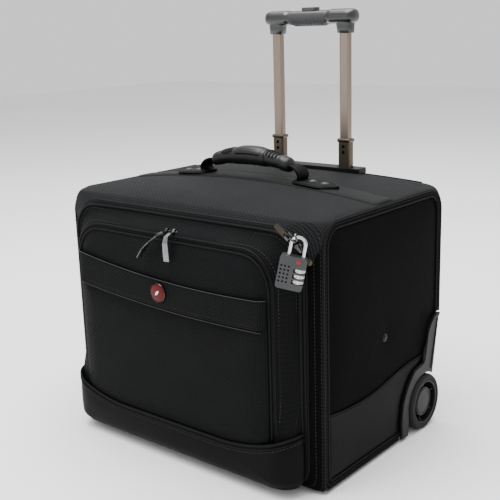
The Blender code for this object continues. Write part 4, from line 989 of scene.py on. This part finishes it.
def make_kick_band():
    outer, inner = [], []
    for share in shares(18):
        tuck = 7 * (1 - smooth(share * 5)) ** 1.5
        swell = 1.8 * sin(pi * min(1.0, share * 1.02)) ** 0.8
        outer.append([at(x, y, mix(DOOR_BOTTOM, band_top(x), share)) for x, y in band_plan(tuck - swell)])
        inner.append([at(x, y, mix(DOOR_BOTTOM + 2, band_top(x) - 1, share)) for x, y in band_plan(tuck + 3.4)])
    made = pad("kick_band_cover", (outer, inner), LEATHERETTE, "door")
    puff(made, 4.0, 1.6, None, 14.0)
    cover(made, 0.4, "kick_band")
    floor = skins((0.2, 0.5, 0.8, 1.0), band_plan(7), lambda share, plan: [
        at(plan[0] * share, mix(DOOR_FRONT, plan[1], share), DOOR_BOTTOM + lift) for lift in (0, 2.5)])
    settle(pad("kick_band_floor", floor, LEATHERETTE, "door"))
    for name, inset, drop, radius in (("piping", -0.4, 0, 1.7), ("lower_piping", -1.0, 5, 1.1)):
        path = even([(x, y, band_top(x) - drop) for x, y in band_plan(inset)], 4)
        tube("kick_band_" + name, path, radius, body="door")
    outs = []
    for x, y in band_plan(0):
        out = at(x / 6 if abs(x) < BAND_STRAIGHT else x - copysign(BAND_STRAIGHT, x), y - DOOR_FRONT, 0)
        outs.append(at(0, -1, 0) if abs(out.x) < 27 else out)
    stitches("kick_band_stitches", [at(x, y, band_top(x) - 8) for x, y in band_plan(-1.9)], outs, "door")


# ---------------------------------------------------------------- front pocket

def slip_upper(x):
    return 240.5 + 0.00036 * (x - 75) ** 2


def slip_lower(x):
    return 208.5 + 0.00026 * (x - 75) ** 2


def make_pocket():
    half, top, flap = POCKET_HALF - 1, POCKET_TOP - 1, "pocket_flap"
    outline = [Vector(point) for point in arch(half, top, POCKET_RADIUS, 54)]
    straight = half - POCKET_RADIUS + 1
    turn = [straight + (half - straight) * sin(pi / 2 * share) for share in shares(10, 1)]
    columns = [-x for x in turn[::-1]] + [mix(-straight, straight, share) for share in shares(48)] + turn

    def spot(share, x):
        high = top - POCKET_RADIUS + leg(POCKET_RADIUS, beyond(x, half - POCKET_RADIUS))
        z = mix(band_top(x) + 1.2, high, share)
        rise = (POCKET_FRONT - POCKET_EDGE_Y) * smooth(distance_to(Vector((x, z)), outline) / 16)
        return at(x, POCKET_EDGE_Y + rise, z), at(x, POCKET_EDGE_Y + 1.8, z)

    made = pad("pocket_pad", skins(shares(44), columns, spot), NYLON, flap)
    puff(made, 5.0, 3.2, lambda x, y, z: z < slip_upper(x) - 4 and abs(x) < POCKET_HALF - 6, 12.0)
    cover(made, 0.6, "pocket_front")

    def line(grow_x, grow_z, radius, low, behind, step=4):
        outline = arch(POCKET_HALF + grow_x, POCKET_TOP + grow_z, radius, low)
        return even([(x, POCKET_EDGE_Y + behind, z) for x, z in outline], step)

    tube("pocket_edge_piping", line(-0.6, -0.6, POCKET_RADIUS, 68, 0.4), 1.6, body=flap)
    tube("pocket_gusset_piping", line(4.4, 5.4, POCKET_RADIUS + 4.4, 76, 2.4), 1.35, body="door")
    groove = line(1.9, 2.4, POCKET_RADIUS + 2, 74, 2.2, 3)
    outs = [at(x * 0.4, -130, (z - 180) * 0.4).normalized() for x, _, z in groove]
    for name, sign, body in (("front", 1, flap), ("back", -1, "door")):
        zip_teeth("pocket_zip_teeth_" + name, groove, outs, sign, body, (0.8, 0.6, 0.6))
    sewn = even([(x, skin_depth(x, z, 0.72) - 1.4, z) for x, z in skin_arch(0.72, POCKET_RADIUS + 3, 96)], 4)
    outs = [at(x * 0.5, -120, (z - 180) * 0.5).normalized() for x, _, z in sewn]
    stitches("pocket_gusset_stitches", sewn, outs, "door", lift=0.4)


def make_slip_pocket():
    """The low slip pocket: a padded lower panel, and a flat band over its mouth with a light folded edge."""
    half, flap = POCKET_HALF - 2.5, "pocket_flap"
    columns = [mix(-half, half, share) for share in shares(64)]

    def ends(x):
        return smooth((half + 1 - abs(x)) / 8)

    def panel(share, x):
        low, high = band_top(x) + 1.6, slip_lower(x) + 1
        z = mix(low, high, share)
        near = min(half - abs(x), z - low + 4, high - z + 3)
        y = mix(POCKET_EDGE_Y - 2.4, SLIP_FRONT + 1.4, smooth(near / 12))
        return at(x, y, z), at(x, POCKET_EDGE_Y - 1.2, z)

    def band(share, x):
        z, y = mix(slip_lower(x) - 2.2, slip_upper(x), share), SLIP_FRONT - 1.5 * (1 - share) ** 2
        return at(x, mix(POCKET_EDGE_Y - 2.2, y, ends(x)), z), at(x, mix(POCKET_EDGE_Y - 1.2, y + 1.5, ends(x)), z)

    made = pad("slip_pocket_pad", skins(shares(32), columns, panel), NYLON, flap)
    puff(made, 4.0, 2.2, None, 12.0)
    cover(made, 0.45, "slip_pocket")
    made = pad("slip_pocket_band", skins(shares(12), columns, band), NYLON, flap)
    puff(made, 2.0, 0.9, None, 16.0)
    cover(made, 0.2)
    fold = [at(x, mix(POCKET_EDGE_Y - 2.6, SLIP_FRONT - 0.3, ends(x)), slip_upper(x)) for x in columns]
    tube("slip_pocket_fold", fold, 0.42, FOLD, flap)
    line = [at(x, y - 0.6, slip_lower(x) + 2.2) for x, y, _ in fold[3:-3]]
    stitches("slip_pocket_stitches", line, (0, -1, 0), flap, lift=0.2)
    # Under the band's lower edge: a black tube that is a painted shadow line, and below it a thin pale cord that is a
    # painted highlight line.
    for name, drop, radius, look in (("painted_shadow_line", 3.1, 1.3, PAINTED_SHADE_BLACK), ("roll", 5.2, 0.55, FOLD)):
        path = [at(x, mix(POCKET_EDGE_Y - 2.2, SLIP_FRONT + 0.7, ends(x)), slip_lower(x) - drop) for x in columns[1:-1]]
        tube("slip_pocket_" + name, path, radius, look, flap, slot="nylon")


def dome(radius, rise, foot, steps):
    """A dome's profile for turned(), from its top down to its edge."""
    return [(radius * sin(pi / 2 * share), foot + rise * cos(pi / 2 * share)) for share in shares(steps)]


def make_badge():
    """A plain round enamel badge in a metal rim, with a pale leaf."""
    low, high = span("badge")
    centre, radius = at((low.x + high.x) / 2, high.y - 0.6, (low.z + high.z) / 2), (high.x - low.x) / 2
    rim = [(0, 0), (radius, 0), (radius, 1.7), (radius - 0.5, 2.4), (radius - 0.9, 2.5), (radius - 1.2, 1.9), (0, 1.9)]
    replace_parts(turned("badge_rim", rim, centre, (0, -1, 0), GUNMETAL, "pocket_flap", 64), "badge")
    face = [*dome(radius - 1.2, 1.3, 1.9, 8), (0, 1.9)]
    turned("badge_enamel", face, centre, (0, -1, 0), ENAMEL, "pocket_flap", 64)
    points = []
    for height in (2.6, 3.35):
        for step in range(16):
            angle = pi / 8 * step
            long, wide = 4.4 * cos(angle), 1.7 * sin(angle) * abs(sin(angle))
            points.append(centre + at((long + wide) * 0.71, -height, (long - wide) * 0.71))
    settle(piece("badge_leaf", points, solid_faces(2, 16), DIAL, "pocket_flap", flat=True))


# ---------------------------------------------------------------- carry handle

def carry_section(x, grow=0.0):
    """The carry grip's outline across its length at x: a rounded box."""
    share = (x / CARRY_LENGTH) ** 2
    high, deep = 12.3 - 3.3 * share + grow, 12.8 - 2.3 * share + grow
    return [at(x, deep * c, CARRY_TOP - CARRY_SAG * share + high * s) for c, s in squircle(32, 2.4)]


def make_carry_handle():
    """An arched moulded grip with a raised pad in the middle and a ribbed oval at each end."""
    rings = []
    for share in shares(66):
        x = -CARRY_LENGTH + 2 * CARRY_LENGTH * share
        end = beyond(x, CARRY_LENGTH - 5) / 5
        waist = -1.3 * smooth((abs(x) - 25) / 3) * smooth((54 - abs(x)) / 4)
        rings.append(carry_section(x, waist - 2.6 * (1 - leg(1, end))))
    made = sharp(loft("carry_grip_body", rings, HANDLE, "carry_handle"), 50)
    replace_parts(made, "carry_grip")
    rings = []
    for share in shares(18):
        x = -23 + 46 * share
        row = carry_section(x, -1.0 + 2.2 * sqrt(max(0.0, 1 - (x / 23.4) ** 4)))[2:15]
        rings.append(row + [point - at(0, 0, 2.2) for point in row[::-1]])
    loft("carry_grip_pad", rings, HANDLE, "carry_handle")
    for side, sign in SIDES:
        for number, offset in enumerate((-8, -3, 2, 7)):
            reach = 3 if abs(offset) > 6 else 2
            ring = carry_section(sign * (39 + offset), -0.9)[reach:17 - reach]
            tube(f"carry_grip_rib_{side}_{number}", ring, 1.3, RUBBER, "carry_handle")
        for number, x in enumerate((27, 52.5)):
            ring = carry_section(sign * x, -1.0)
            tube(f"carry_grip_collar_{side}_{number}", ring, 0.9, HANDLE, "carry_handle", closed=True)
        make_strap(side, sign)


def make_strap(side, sign):
    """The strap that comes out of the grip, turns down in front of the anchor and goes under it."""
    line = spline([(sign * x, 0, z) for x, z in ((60, 366), (68, 366), (76, 364), (82.5, 359), (84.5, 353.5),
                                                 (82, 348.8), (77, 347))], 6)
    forwards = [along(line, index) for index in range(len(line))]
    outs = [at(-forward.z, 0, forward.x) * sign for forward in forwards]

    def half(share):
        return mix(8.2, 12.0, smooth(share * 2))

    made = strip("carry_strap_cover_" + side, line, outs, half, 3.0, LEATHERETTE, "carry_handle", -1.5)
    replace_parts(made, "carry_strap_" + side)
    for edge in (-1, 1):
        path = [line[index] + at(0, edge * (half(index / (len(line) - 1)) - 2.2), 0) + outs[index] * 1.5
                for index in range(8, len(line) - 8)]
        stitches(f"carry_strap_stitches_{side}_{edge + 1}", path, outs[8:-8], "carry_handle", 2.4, 1.2)


def make_anchors():
    """The pointed tabs that hold the straps, riveted through the band."""
    outline = [(76, 14), (79, 17), (84, 18), (90, 18.4), (99, 18.8), (108, 19), (114, 18.9), (120, 18.2), (124, 16),
               (128, 12.6), (132, 8.6), (136, 4.6), (139, 1.6)]
    for side, sign in SIDES:
        def spot(station, step):
            x, half = station
            y, z = half * (step / 7 - 1), TOP + crown(x, 0) + 2.9
            return at(sign * x, y, z + 0.9 + 1.9 * smooth(min(step, 14 - step) / 2)), at(sign * x, y, z - 0.2)

        made = settle(sharp(pad("anchor_cover_" + side, skins(outline, range(15), spot), LEATHERETTE), 60))
        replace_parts(made, "handle_anchor_" + side)
        rim = [at(sign * x, half - 2.4, TOP + crown(x, 0) + 5.8) for x, half in outline[1:-1]]
        rim += [at(x, -y, z) for x, y, z in rim[::-1]]
        stitches("anchor_stitches_" + side, rim, (0, 0, 1), "case", 2.4, 1.2)
        for number, x in enumerate((99, 118)):
            profile = [*dome(4.4, 1.6, 1.0, 5), (5.2, 0.9), (5.4, 0), (0, 0)]
            centre = (sign * x, 0, TOP + crown(x, 0) + 5.2)
            turned(f"anchor_rivet_{side}_{number}", profile, centre, (0, 0, 1), LOCK_ZINC, steps=24)


# ---------------------------------------------------------------- trolley

def bar_section(x, deep, high, sag=0.0):
    """The trolley grip's outline across its length at x. sag makes its underside hang lower."""
    middle = (GRIP_HIGH.z + 542) / 2
    points = []
    for step, (c, s) in enumerate(squircle(36, 2.5)):
        turn = sin(2 * pi * step / 36)
        points.append(at(x, TUBE_Y + deep * c, middle + (high + (sag * abs(turn) if turn < 0 else 0.0)) * s))
    return points


def make_stage_lip(side, sign):
    """The dark collar at the top of a middle tube, with two black discs below it: painted shade standing in for two
    holes in the tube.
    """
    low, high = span("middle_tube_" + side)
    inner_low, inner_high = span("inner_tube_" + side)
    wide, deep = ((inner_high[axis] - inner_low[axis]) / 2 + 0.35 for axis in (0, 1))
    outline = []
    for quarter, (dx, dy) in enumerate(((8.1, 5.1), (-8.1, 5.1), (-8.1, -5.1), (8.1, -5.1))):
        outline += arc((dx, dy), 1.9, 90 * quarter, 90 * quarter + 90, 4)
    centre, rings = sign * TUBE_X, []
    for z, grow in ((high.z - 3, 0.0), (high.z - 2.6, 0.5), (high.z + 0.9, 0.5), (high.z + 1.6, -0.1)):
        rings.append([at(centre + x + copysign(grow, x), TUBE_Y + y + copysign(grow, y), z) for x, y in outline])
    for z in (high.z + 1.6, high.z - 3):
        rings.append([at(centre + copysign(wide, x) * min(1, abs(x) / 8.1),
                         TUBE_Y + copysign(deep, y) * min(1, abs(y) / 5.1), z) for x, y in outline])
    loft("stage_lip_" + side, rings, DARK_CHAMPAGNE, "middle_stage", closed=True)
    hole_shade_disc = [(0, 0), (2.3, 0), (2.3, 0.3), (1.9, 0.45), (1.6, 0.15), (0, 0.1)]
    for number, z in enumerate((high.z - 9, high.z - 17.5)):
        turned(f"stage_stop_{side}_{number}", hole_shade_disc, (centre, low.y, z), (0, -1, 0), PAINTED_SHADE_BLACK, "middle_stage", 16)


def make_trolley():
    for side, sign in SIDES:
        for stage, look, bevel in (("outer", DARK_CHAMPAGNE, 0.4), ("middle", DARK_CHAMPAGNE, 0.4),
                                   ("inner", CHAMPAGNE, 0.6)):
            dress(f"{stage}_tube_{side}", look, bevel)
        make_stage_lip(side, sign)
    for node in ("handle_bezel", "tube_foot_bracket", "rear_skid_plate"):
        dress(node, PLASTIC, 0.8)

    half, stage = GRIP_HIGH.x, "inner_stage"
    rings = []
    for share in shares(60):
        x = -half + 2 * half * share
        soft = 1 - 0.42 * (1 - leg(1, beyond(x, half - 10) / 10))
        neck = 0.9 * smooth((37 - abs(x)) / 1.2)
        rings.append(bar_section(x, (GRIP_HIGH.y - TUBE_Y) * soft - neck, 10.3 * soft - neck))
    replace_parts(sharp(loft("grip_bar", rings, GRIP, stage), 50), "grip_shell")
    for side, sign in SIDES:
        rings = []
        for rise, deep, wide in ((0, 7.4, 10.2), (0.8, 8.3, 11.2), (8, 8.8, 11.8), (13, 9.4, 13.0), (17, 10.4, 15.6),
                                 (20, 11.4, 18.4)):
            outward = 12.0 + (wide - 12.0) * 0.25
            rings.append([at(sign * TUBE_X + (wide if c * sign < 0 else outward) * c, TUBE_Y + deep * s,
                             GRIP_LOW.z + rise) for c, s in squircle(32, 3.4)])
        sharp(loft("grip_collar_" + side, rings, GRIP, stage), 50)
        turned("grip_screw_" + side, [(0, 0.5), (2.0, 0.5), (2.4, 0.2), (2.4, -0.6), (0, -0.6)],
               (sign * 46, TUBE_Y + 12.6, 552), (0, 1, 0), GUNMETAL, stage, 20)
    rings = []
    for share in shares(30):
        x = -33 + 66 * share
        soft = 1.8 * (1 - leg(1, beyond(x, 29) / 4))
        ring = bar_section(x, GRIP_HIGH.y - TUBE_Y + 0.4 - soft, 10.4 - soft, 1.2 * (1 - (x / 33) ** 2))
        rings.append([point for point in ring if point.z < 559.5])
    size = min(len(ring) for ring in rings)
    made = loft("grip_sleeve_cover", [ring[:size] for ring in rings], GRIP_MATTE, stage)
    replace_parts(sharp(made, 50), "grip_sleeve")
    for number, x in enumerate(range(-24, 25, 6)):
        ring = [point for point in bar_section(x, GRIP_HIGH.y - TUBE_Y + 0.2, 10.3, 1.2) if point.z < 556]
        tube(f"grip_sleeve_rib_{number}", ring, 0.7, GRIP_MATTE, stage)
    dress("release_button", GLOSS_BLACK, 1.2, 60)


# ---------------------------------------------------------------- wheels

def make_wheel(side, sign):
    body, axis, radius = "wheel_" + side, (sign, 0, 0), WHEEL_Z
    centre = at(0, WHEEL_Y, WHEEL_Z)
    inner, outer = WHEEL_LOW.x, WHEEL_HIGH.x
    tread = [(7.8, 1.2), (4, 0.2), (1.4, 1.4), (0.1, 4), (0, 8)]
    profile = [(radius - drop, inner + step) for drop, step in tread]
    shoulder = (0, 8), (0.1, 4), (1.3, 1.6), (3.4, 0.2), (5.4, 0.3), (7.8, 1.3)
    profile += [(radius - drop, outer - step) for drop, step in shoulder]
    made = turned("tyre_cover_" + side, profile, centre, axis, RUBBER, body, 96, 50)
    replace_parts(made, "tyre_" + side)
    for number, where in enumerate((inner + 6.4, outer - 6.4)):
        groove = [centre + at(sign * where, (radius - 0.1) * cos(pi * step / 48), (radius - 0.1) * sin(pi * step / 48))
                  for step in range(96)]
        tube(f"tyre_line_{side}_{number}", groove, 0.35, WHEEL_PLASTIC, body, True, "grey_rubber")
    rim, face = radius - 8.2, outer - 0.9
    profile = [(8.8, inner + 2), (rim, inner + 2), (rim, face - 1), (rim - 0.6, face), (rim - 2.0, face),
               (rim - 2.6, face - 0.8), (rim - 3.2, face - 14), (20.8, face - 14), (20.4, face - 4.6),
               (19.6, face - 3.2), (12, face - 2.7), (0, face - 2.5), (0, face - 3.9), (8.8, face - 3.9)]
    made = turned("hub_cover_" + side, profile, centre, axis, WHEEL_PLASTIC, body, 96, 32)
    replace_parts(made, "hub_" + side)
    for number in range(6):
        turn = radians(60 * number + 20)
        spoke, cross = at(0, cos(turn), sin(turn)), at(0, -sin(turn), cos(turn))
        rings = []
        for where, half, lift in ((20.2, 1.7, -5.5), (22.5, 1.2, -6.5), (25, 1.2, -6), (rim - 2.6, 1.9, -3.5)):
            rings.append([centre + spoke * where + cross * half * wide + at(sign * (face + rise), 0, 0)
                          for wide, rise in ((1, -14.1), (0.7, lift), (-0.7, lift), (-1, -14.1))])
        sharp(loft(f"hub_rib_{side}_{number}", rings, WHEEL_PLASTIC, body))
    turned("hub_cap_ring_" + side, [(16.6, face - 3.2), (16.9, face - 2.3), (17.7, face - 2.3), (18, face - 3.2)],
           centre, axis, WHEEL_PLASTIC, body)


def make_wheels():
    front = ((39, 8), (36.6, 27), (40, 52), (50.4, 72), (68.6, 89.6), (92, 94.4), (99.4, 115), (106, 139.4),
             (120.6, 153.6), (131, 153.8))
    back = ((113, 82), (118, 106), (124, 130), (129, 149))
    for side, sign in SIDES:
        make_wheel(side, sign)
        for node, look, bevel in (("bearing", STEEL, 0.2), ("axle", STEEL, 0.3), ("wheel_housing", PLASTIC, 0.9),
                                  ("side_rivet", PLASTIC, 0), ("front_foot", PLASTIC, 0.8)):
            dress(f"{node}_{side}", look, bevel)
        x = span("wheel_housing_" + side)[0 if sign < 0 else 1].x
        for name, line, radius in (("ridge_", front, 1.1), ("back_ridge_", back, 1.3)):
            tube("housing_" + name + side, spline([(x, y, z) for y, z in line], 4), radius, PLASTIC)


# ---------------------------------------------------------------- padlock, sliders and pullers

def lock_point(u, v, w=0.0):
    """A point of the padlock: u across its face, v up it and w out of it."""
    return LOCK_CENTRE + LOCK_TURN @ at(u, -w, v)


def make_padlock():
    """A combination padlock: a rounded cast body with a small grille, a red dot and three number dials."""
    dress("lock_body", LOCK_ZINC, 1.6)
    dress("lock_shackle", CHROME)
    dress("lock_key_cylinder", GUNMETAL, 0.2)
    out, hole = LOCK_TURN @ at(0, -1, 0), [(0, 0.12), (0.8, 0.12), (1.15, 0.06), (1.15, -0.4), (0, -0.4)]
    # The grille's holes are shallow black discs: painted shade standing in for their depth.
    for row in range(5):
        for column, u in enumerate((-12, -7.8, -3.6)):
            centre = lock_point(u, 7.3 - 4.5 * row, LOCK_HALF_THICK - 0.02)
            turned(f"lock_hole_{row}_{column}", hole, centre, out, PAINTED_SHADE_BLACK, "lock_body", 16)
    dot = [(0, 0.55), (1.6, 0.5), (2.3, 0.25), (2.4, -0.4), (0, -0.4)]
    turned("lock_dot", dot, lock_point(6, 14.2, LOCK_HALF_THICK), out, LOCK_RED, "lock_body", 28)
    for number, v in enumerate((3.9, -2.5, -8.9), 1):
        make_dial(number, 8.7, v)


def digit_strokes():
    """Seven-segment strokes of the digits 0 to 9, in millimetres around the digit's middle."""
    w, h = 0.55, 0.95
    segments = {"a": ((-w, h), (w, h)), "b": ((w, h), (w, 0)), "c": ((w, 0), (w, -h)), "d": ((-w, -h), (w, -h)),
                "e": ((-w, 0), (-w, -h)), "f": ((-w, h), (-w, 0)), "g": ((-w, 0), (w, 0))}
    lit = ("abcdef", "bc", "abged", "abgcd", "fgbc", "afgcd", "afgecd", "abc", "abcdefg", "abfgcd")
    return [[segments[letter] for letter in letters] for letters in lit]


def make_dial(number, centre_u, v):
    """One dial: a fluted wheel with a printed number in each of its ten places."""
    def spot(angle, radius, height):
        return lock_point(centre_u + radius * sin(angle), v + height, radius * cos(angle))

    rings = [[spot(2 * pi * step / 80, size - (0.35 if step % 8 in (0, 1) else 0.0), height) for step in range(80)]
             for height, size in ((-1.9, 5.7), (-1.5, 6.1), (-0.7, 6.25), (0.7, 6.25), (1.5, 6.1), (1.9, 5.7))]
    body = f"lock_dial_{number}"
    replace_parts(sharp(loft(f"lock_dial_cover_{number}", rings, DIAL, body), 25), body)
    for digit_place in range(10):
        angle = 2 * pi * (digit_place + 0.55) / 10
        points, faces = [], []
        for start, end in digit_strokes()[(digit_place + 3 * number) % 10]:
            a, b = Vector(start), Vector(end)
            side = (b - a).normalized() * 0.16
            normal = Vector((-side.y, side.x))
            faces += solid_faces(2, 4, first=len(points))
            for radius in (6.1, 6.32):
                for corner in (a - side + normal, b + side + normal, b + side - normal, a - side - normal):
                    points.append(spot(angle + corner.x / 6.3, radius, corner.y))
        settle(piece(f"lock_digit_{number}_{digit_place}", points, faces, DIAL_INK, body, flat=True))


def make_zip_hardware():
    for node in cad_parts:
        if "slider" in node:
            dress(node, GLOSS_BLACK, 0.6, 30)
        elif "puller" in node:
            looks = {"pocket_puller_right": SATIN_SILVER, "pocket_puller_left": GLOSS_BLACK}
            dress(node, looks.get(node, GUNMETAL), 0.35, 30)


# ---------------------------------------------------------------- stage, lights and camera

def make_stage():
    bpy.ops.mesh.primitive_plane_add(size=12, location=(0, 0, 0))
    floor = bpy.context.object
    floor.name = "floor"
    look = Look("floor_paper", 0.9)
    floor.data.materials.append(look.paint(look.ramp(look.noise(1.5, 3.0), 0.3, 0.7, (grey(0.86), grey(0.9)))))
    world = bpy.data.worlds.new("studio")
    bpy.context.scene.world = world
    world.use_nodes = True
    background = world.node_tree.nodes["Background"]
    background.inputs["Color"].default_value = (1, 1, 1, 1)
    background.inputs["Strength"].default_value = 1.0
    for name, where, size, power in (
        ("key", (-0.6, -1.2, 2.7), 1.8, 62),
        ("top", (-0.1, 0.2, 2.6), 2.4, 125),
        ("front", (-1.3, -2.6, 0.9), 1.4, 6),
    ):
        light = bpy.data.lights.new(name, "AREA")
        light.energy, light.size = power, size
        lamp = bpy.data.objects.new(name, light)
        bpy.context.scene.collection.objects.link(lamp)
        lamp.location = where
        lamp.rotation_euler = (at(0, 0, 0.2) - Vector(where)).to_track_quat("-Z", "Y").to_euler()


def make_camera():
    """The main view, as plain camera settings."""
    yaw, pitch, roll = radians(-39.9), radians(-14.16), radians(-1.7)
    look = at(cos(pitch) * sin(yaw), cos(pitch) * cos(yaw), sin(pitch))
    right = look.cross(at(0, 0, 1)).normalized()
    up = right.cross(look)
    tilted_right = right * cos(roll) + up * sin(roll)
    tilted_up = up * cos(roll) - right * sin(roll)
    camera = bpy.data.cameras.new("camera")
    camera.sensor_width = 36
    camera.lens = 63.8
    shown = bpy.data.objects.new("camera", camera)
    bpy.context.scene.collection.objects.link(shown)
    turn = Matrix((tilted_right, tilted_up, -look)).transposed().to_4x4()
    shown.matrix_world = Matrix.Translation((0.756, -0.915 + CENTRE_Y, 0.5425)) @ turn
    bpy.context.scene.camera = shown


make_camera()
make_stage()
make_top()
for side, sign in SIDES:
    make_side(side, sign)
make_front_frame()
make_back()
make_top_band()
make_lining()
make_front_floor()
make_door()
make_hinge()
make_kick_band()
make_pocket()
make_slip_pocket()
make_badge()
make_carry_handle()
make_anchors()
make_trolley()
make_wheels()
make_padlock()
make_zip_hardware()
dress("base_panel", LEATHERETTE)
dress("inner_back_wall", PLASTIC)
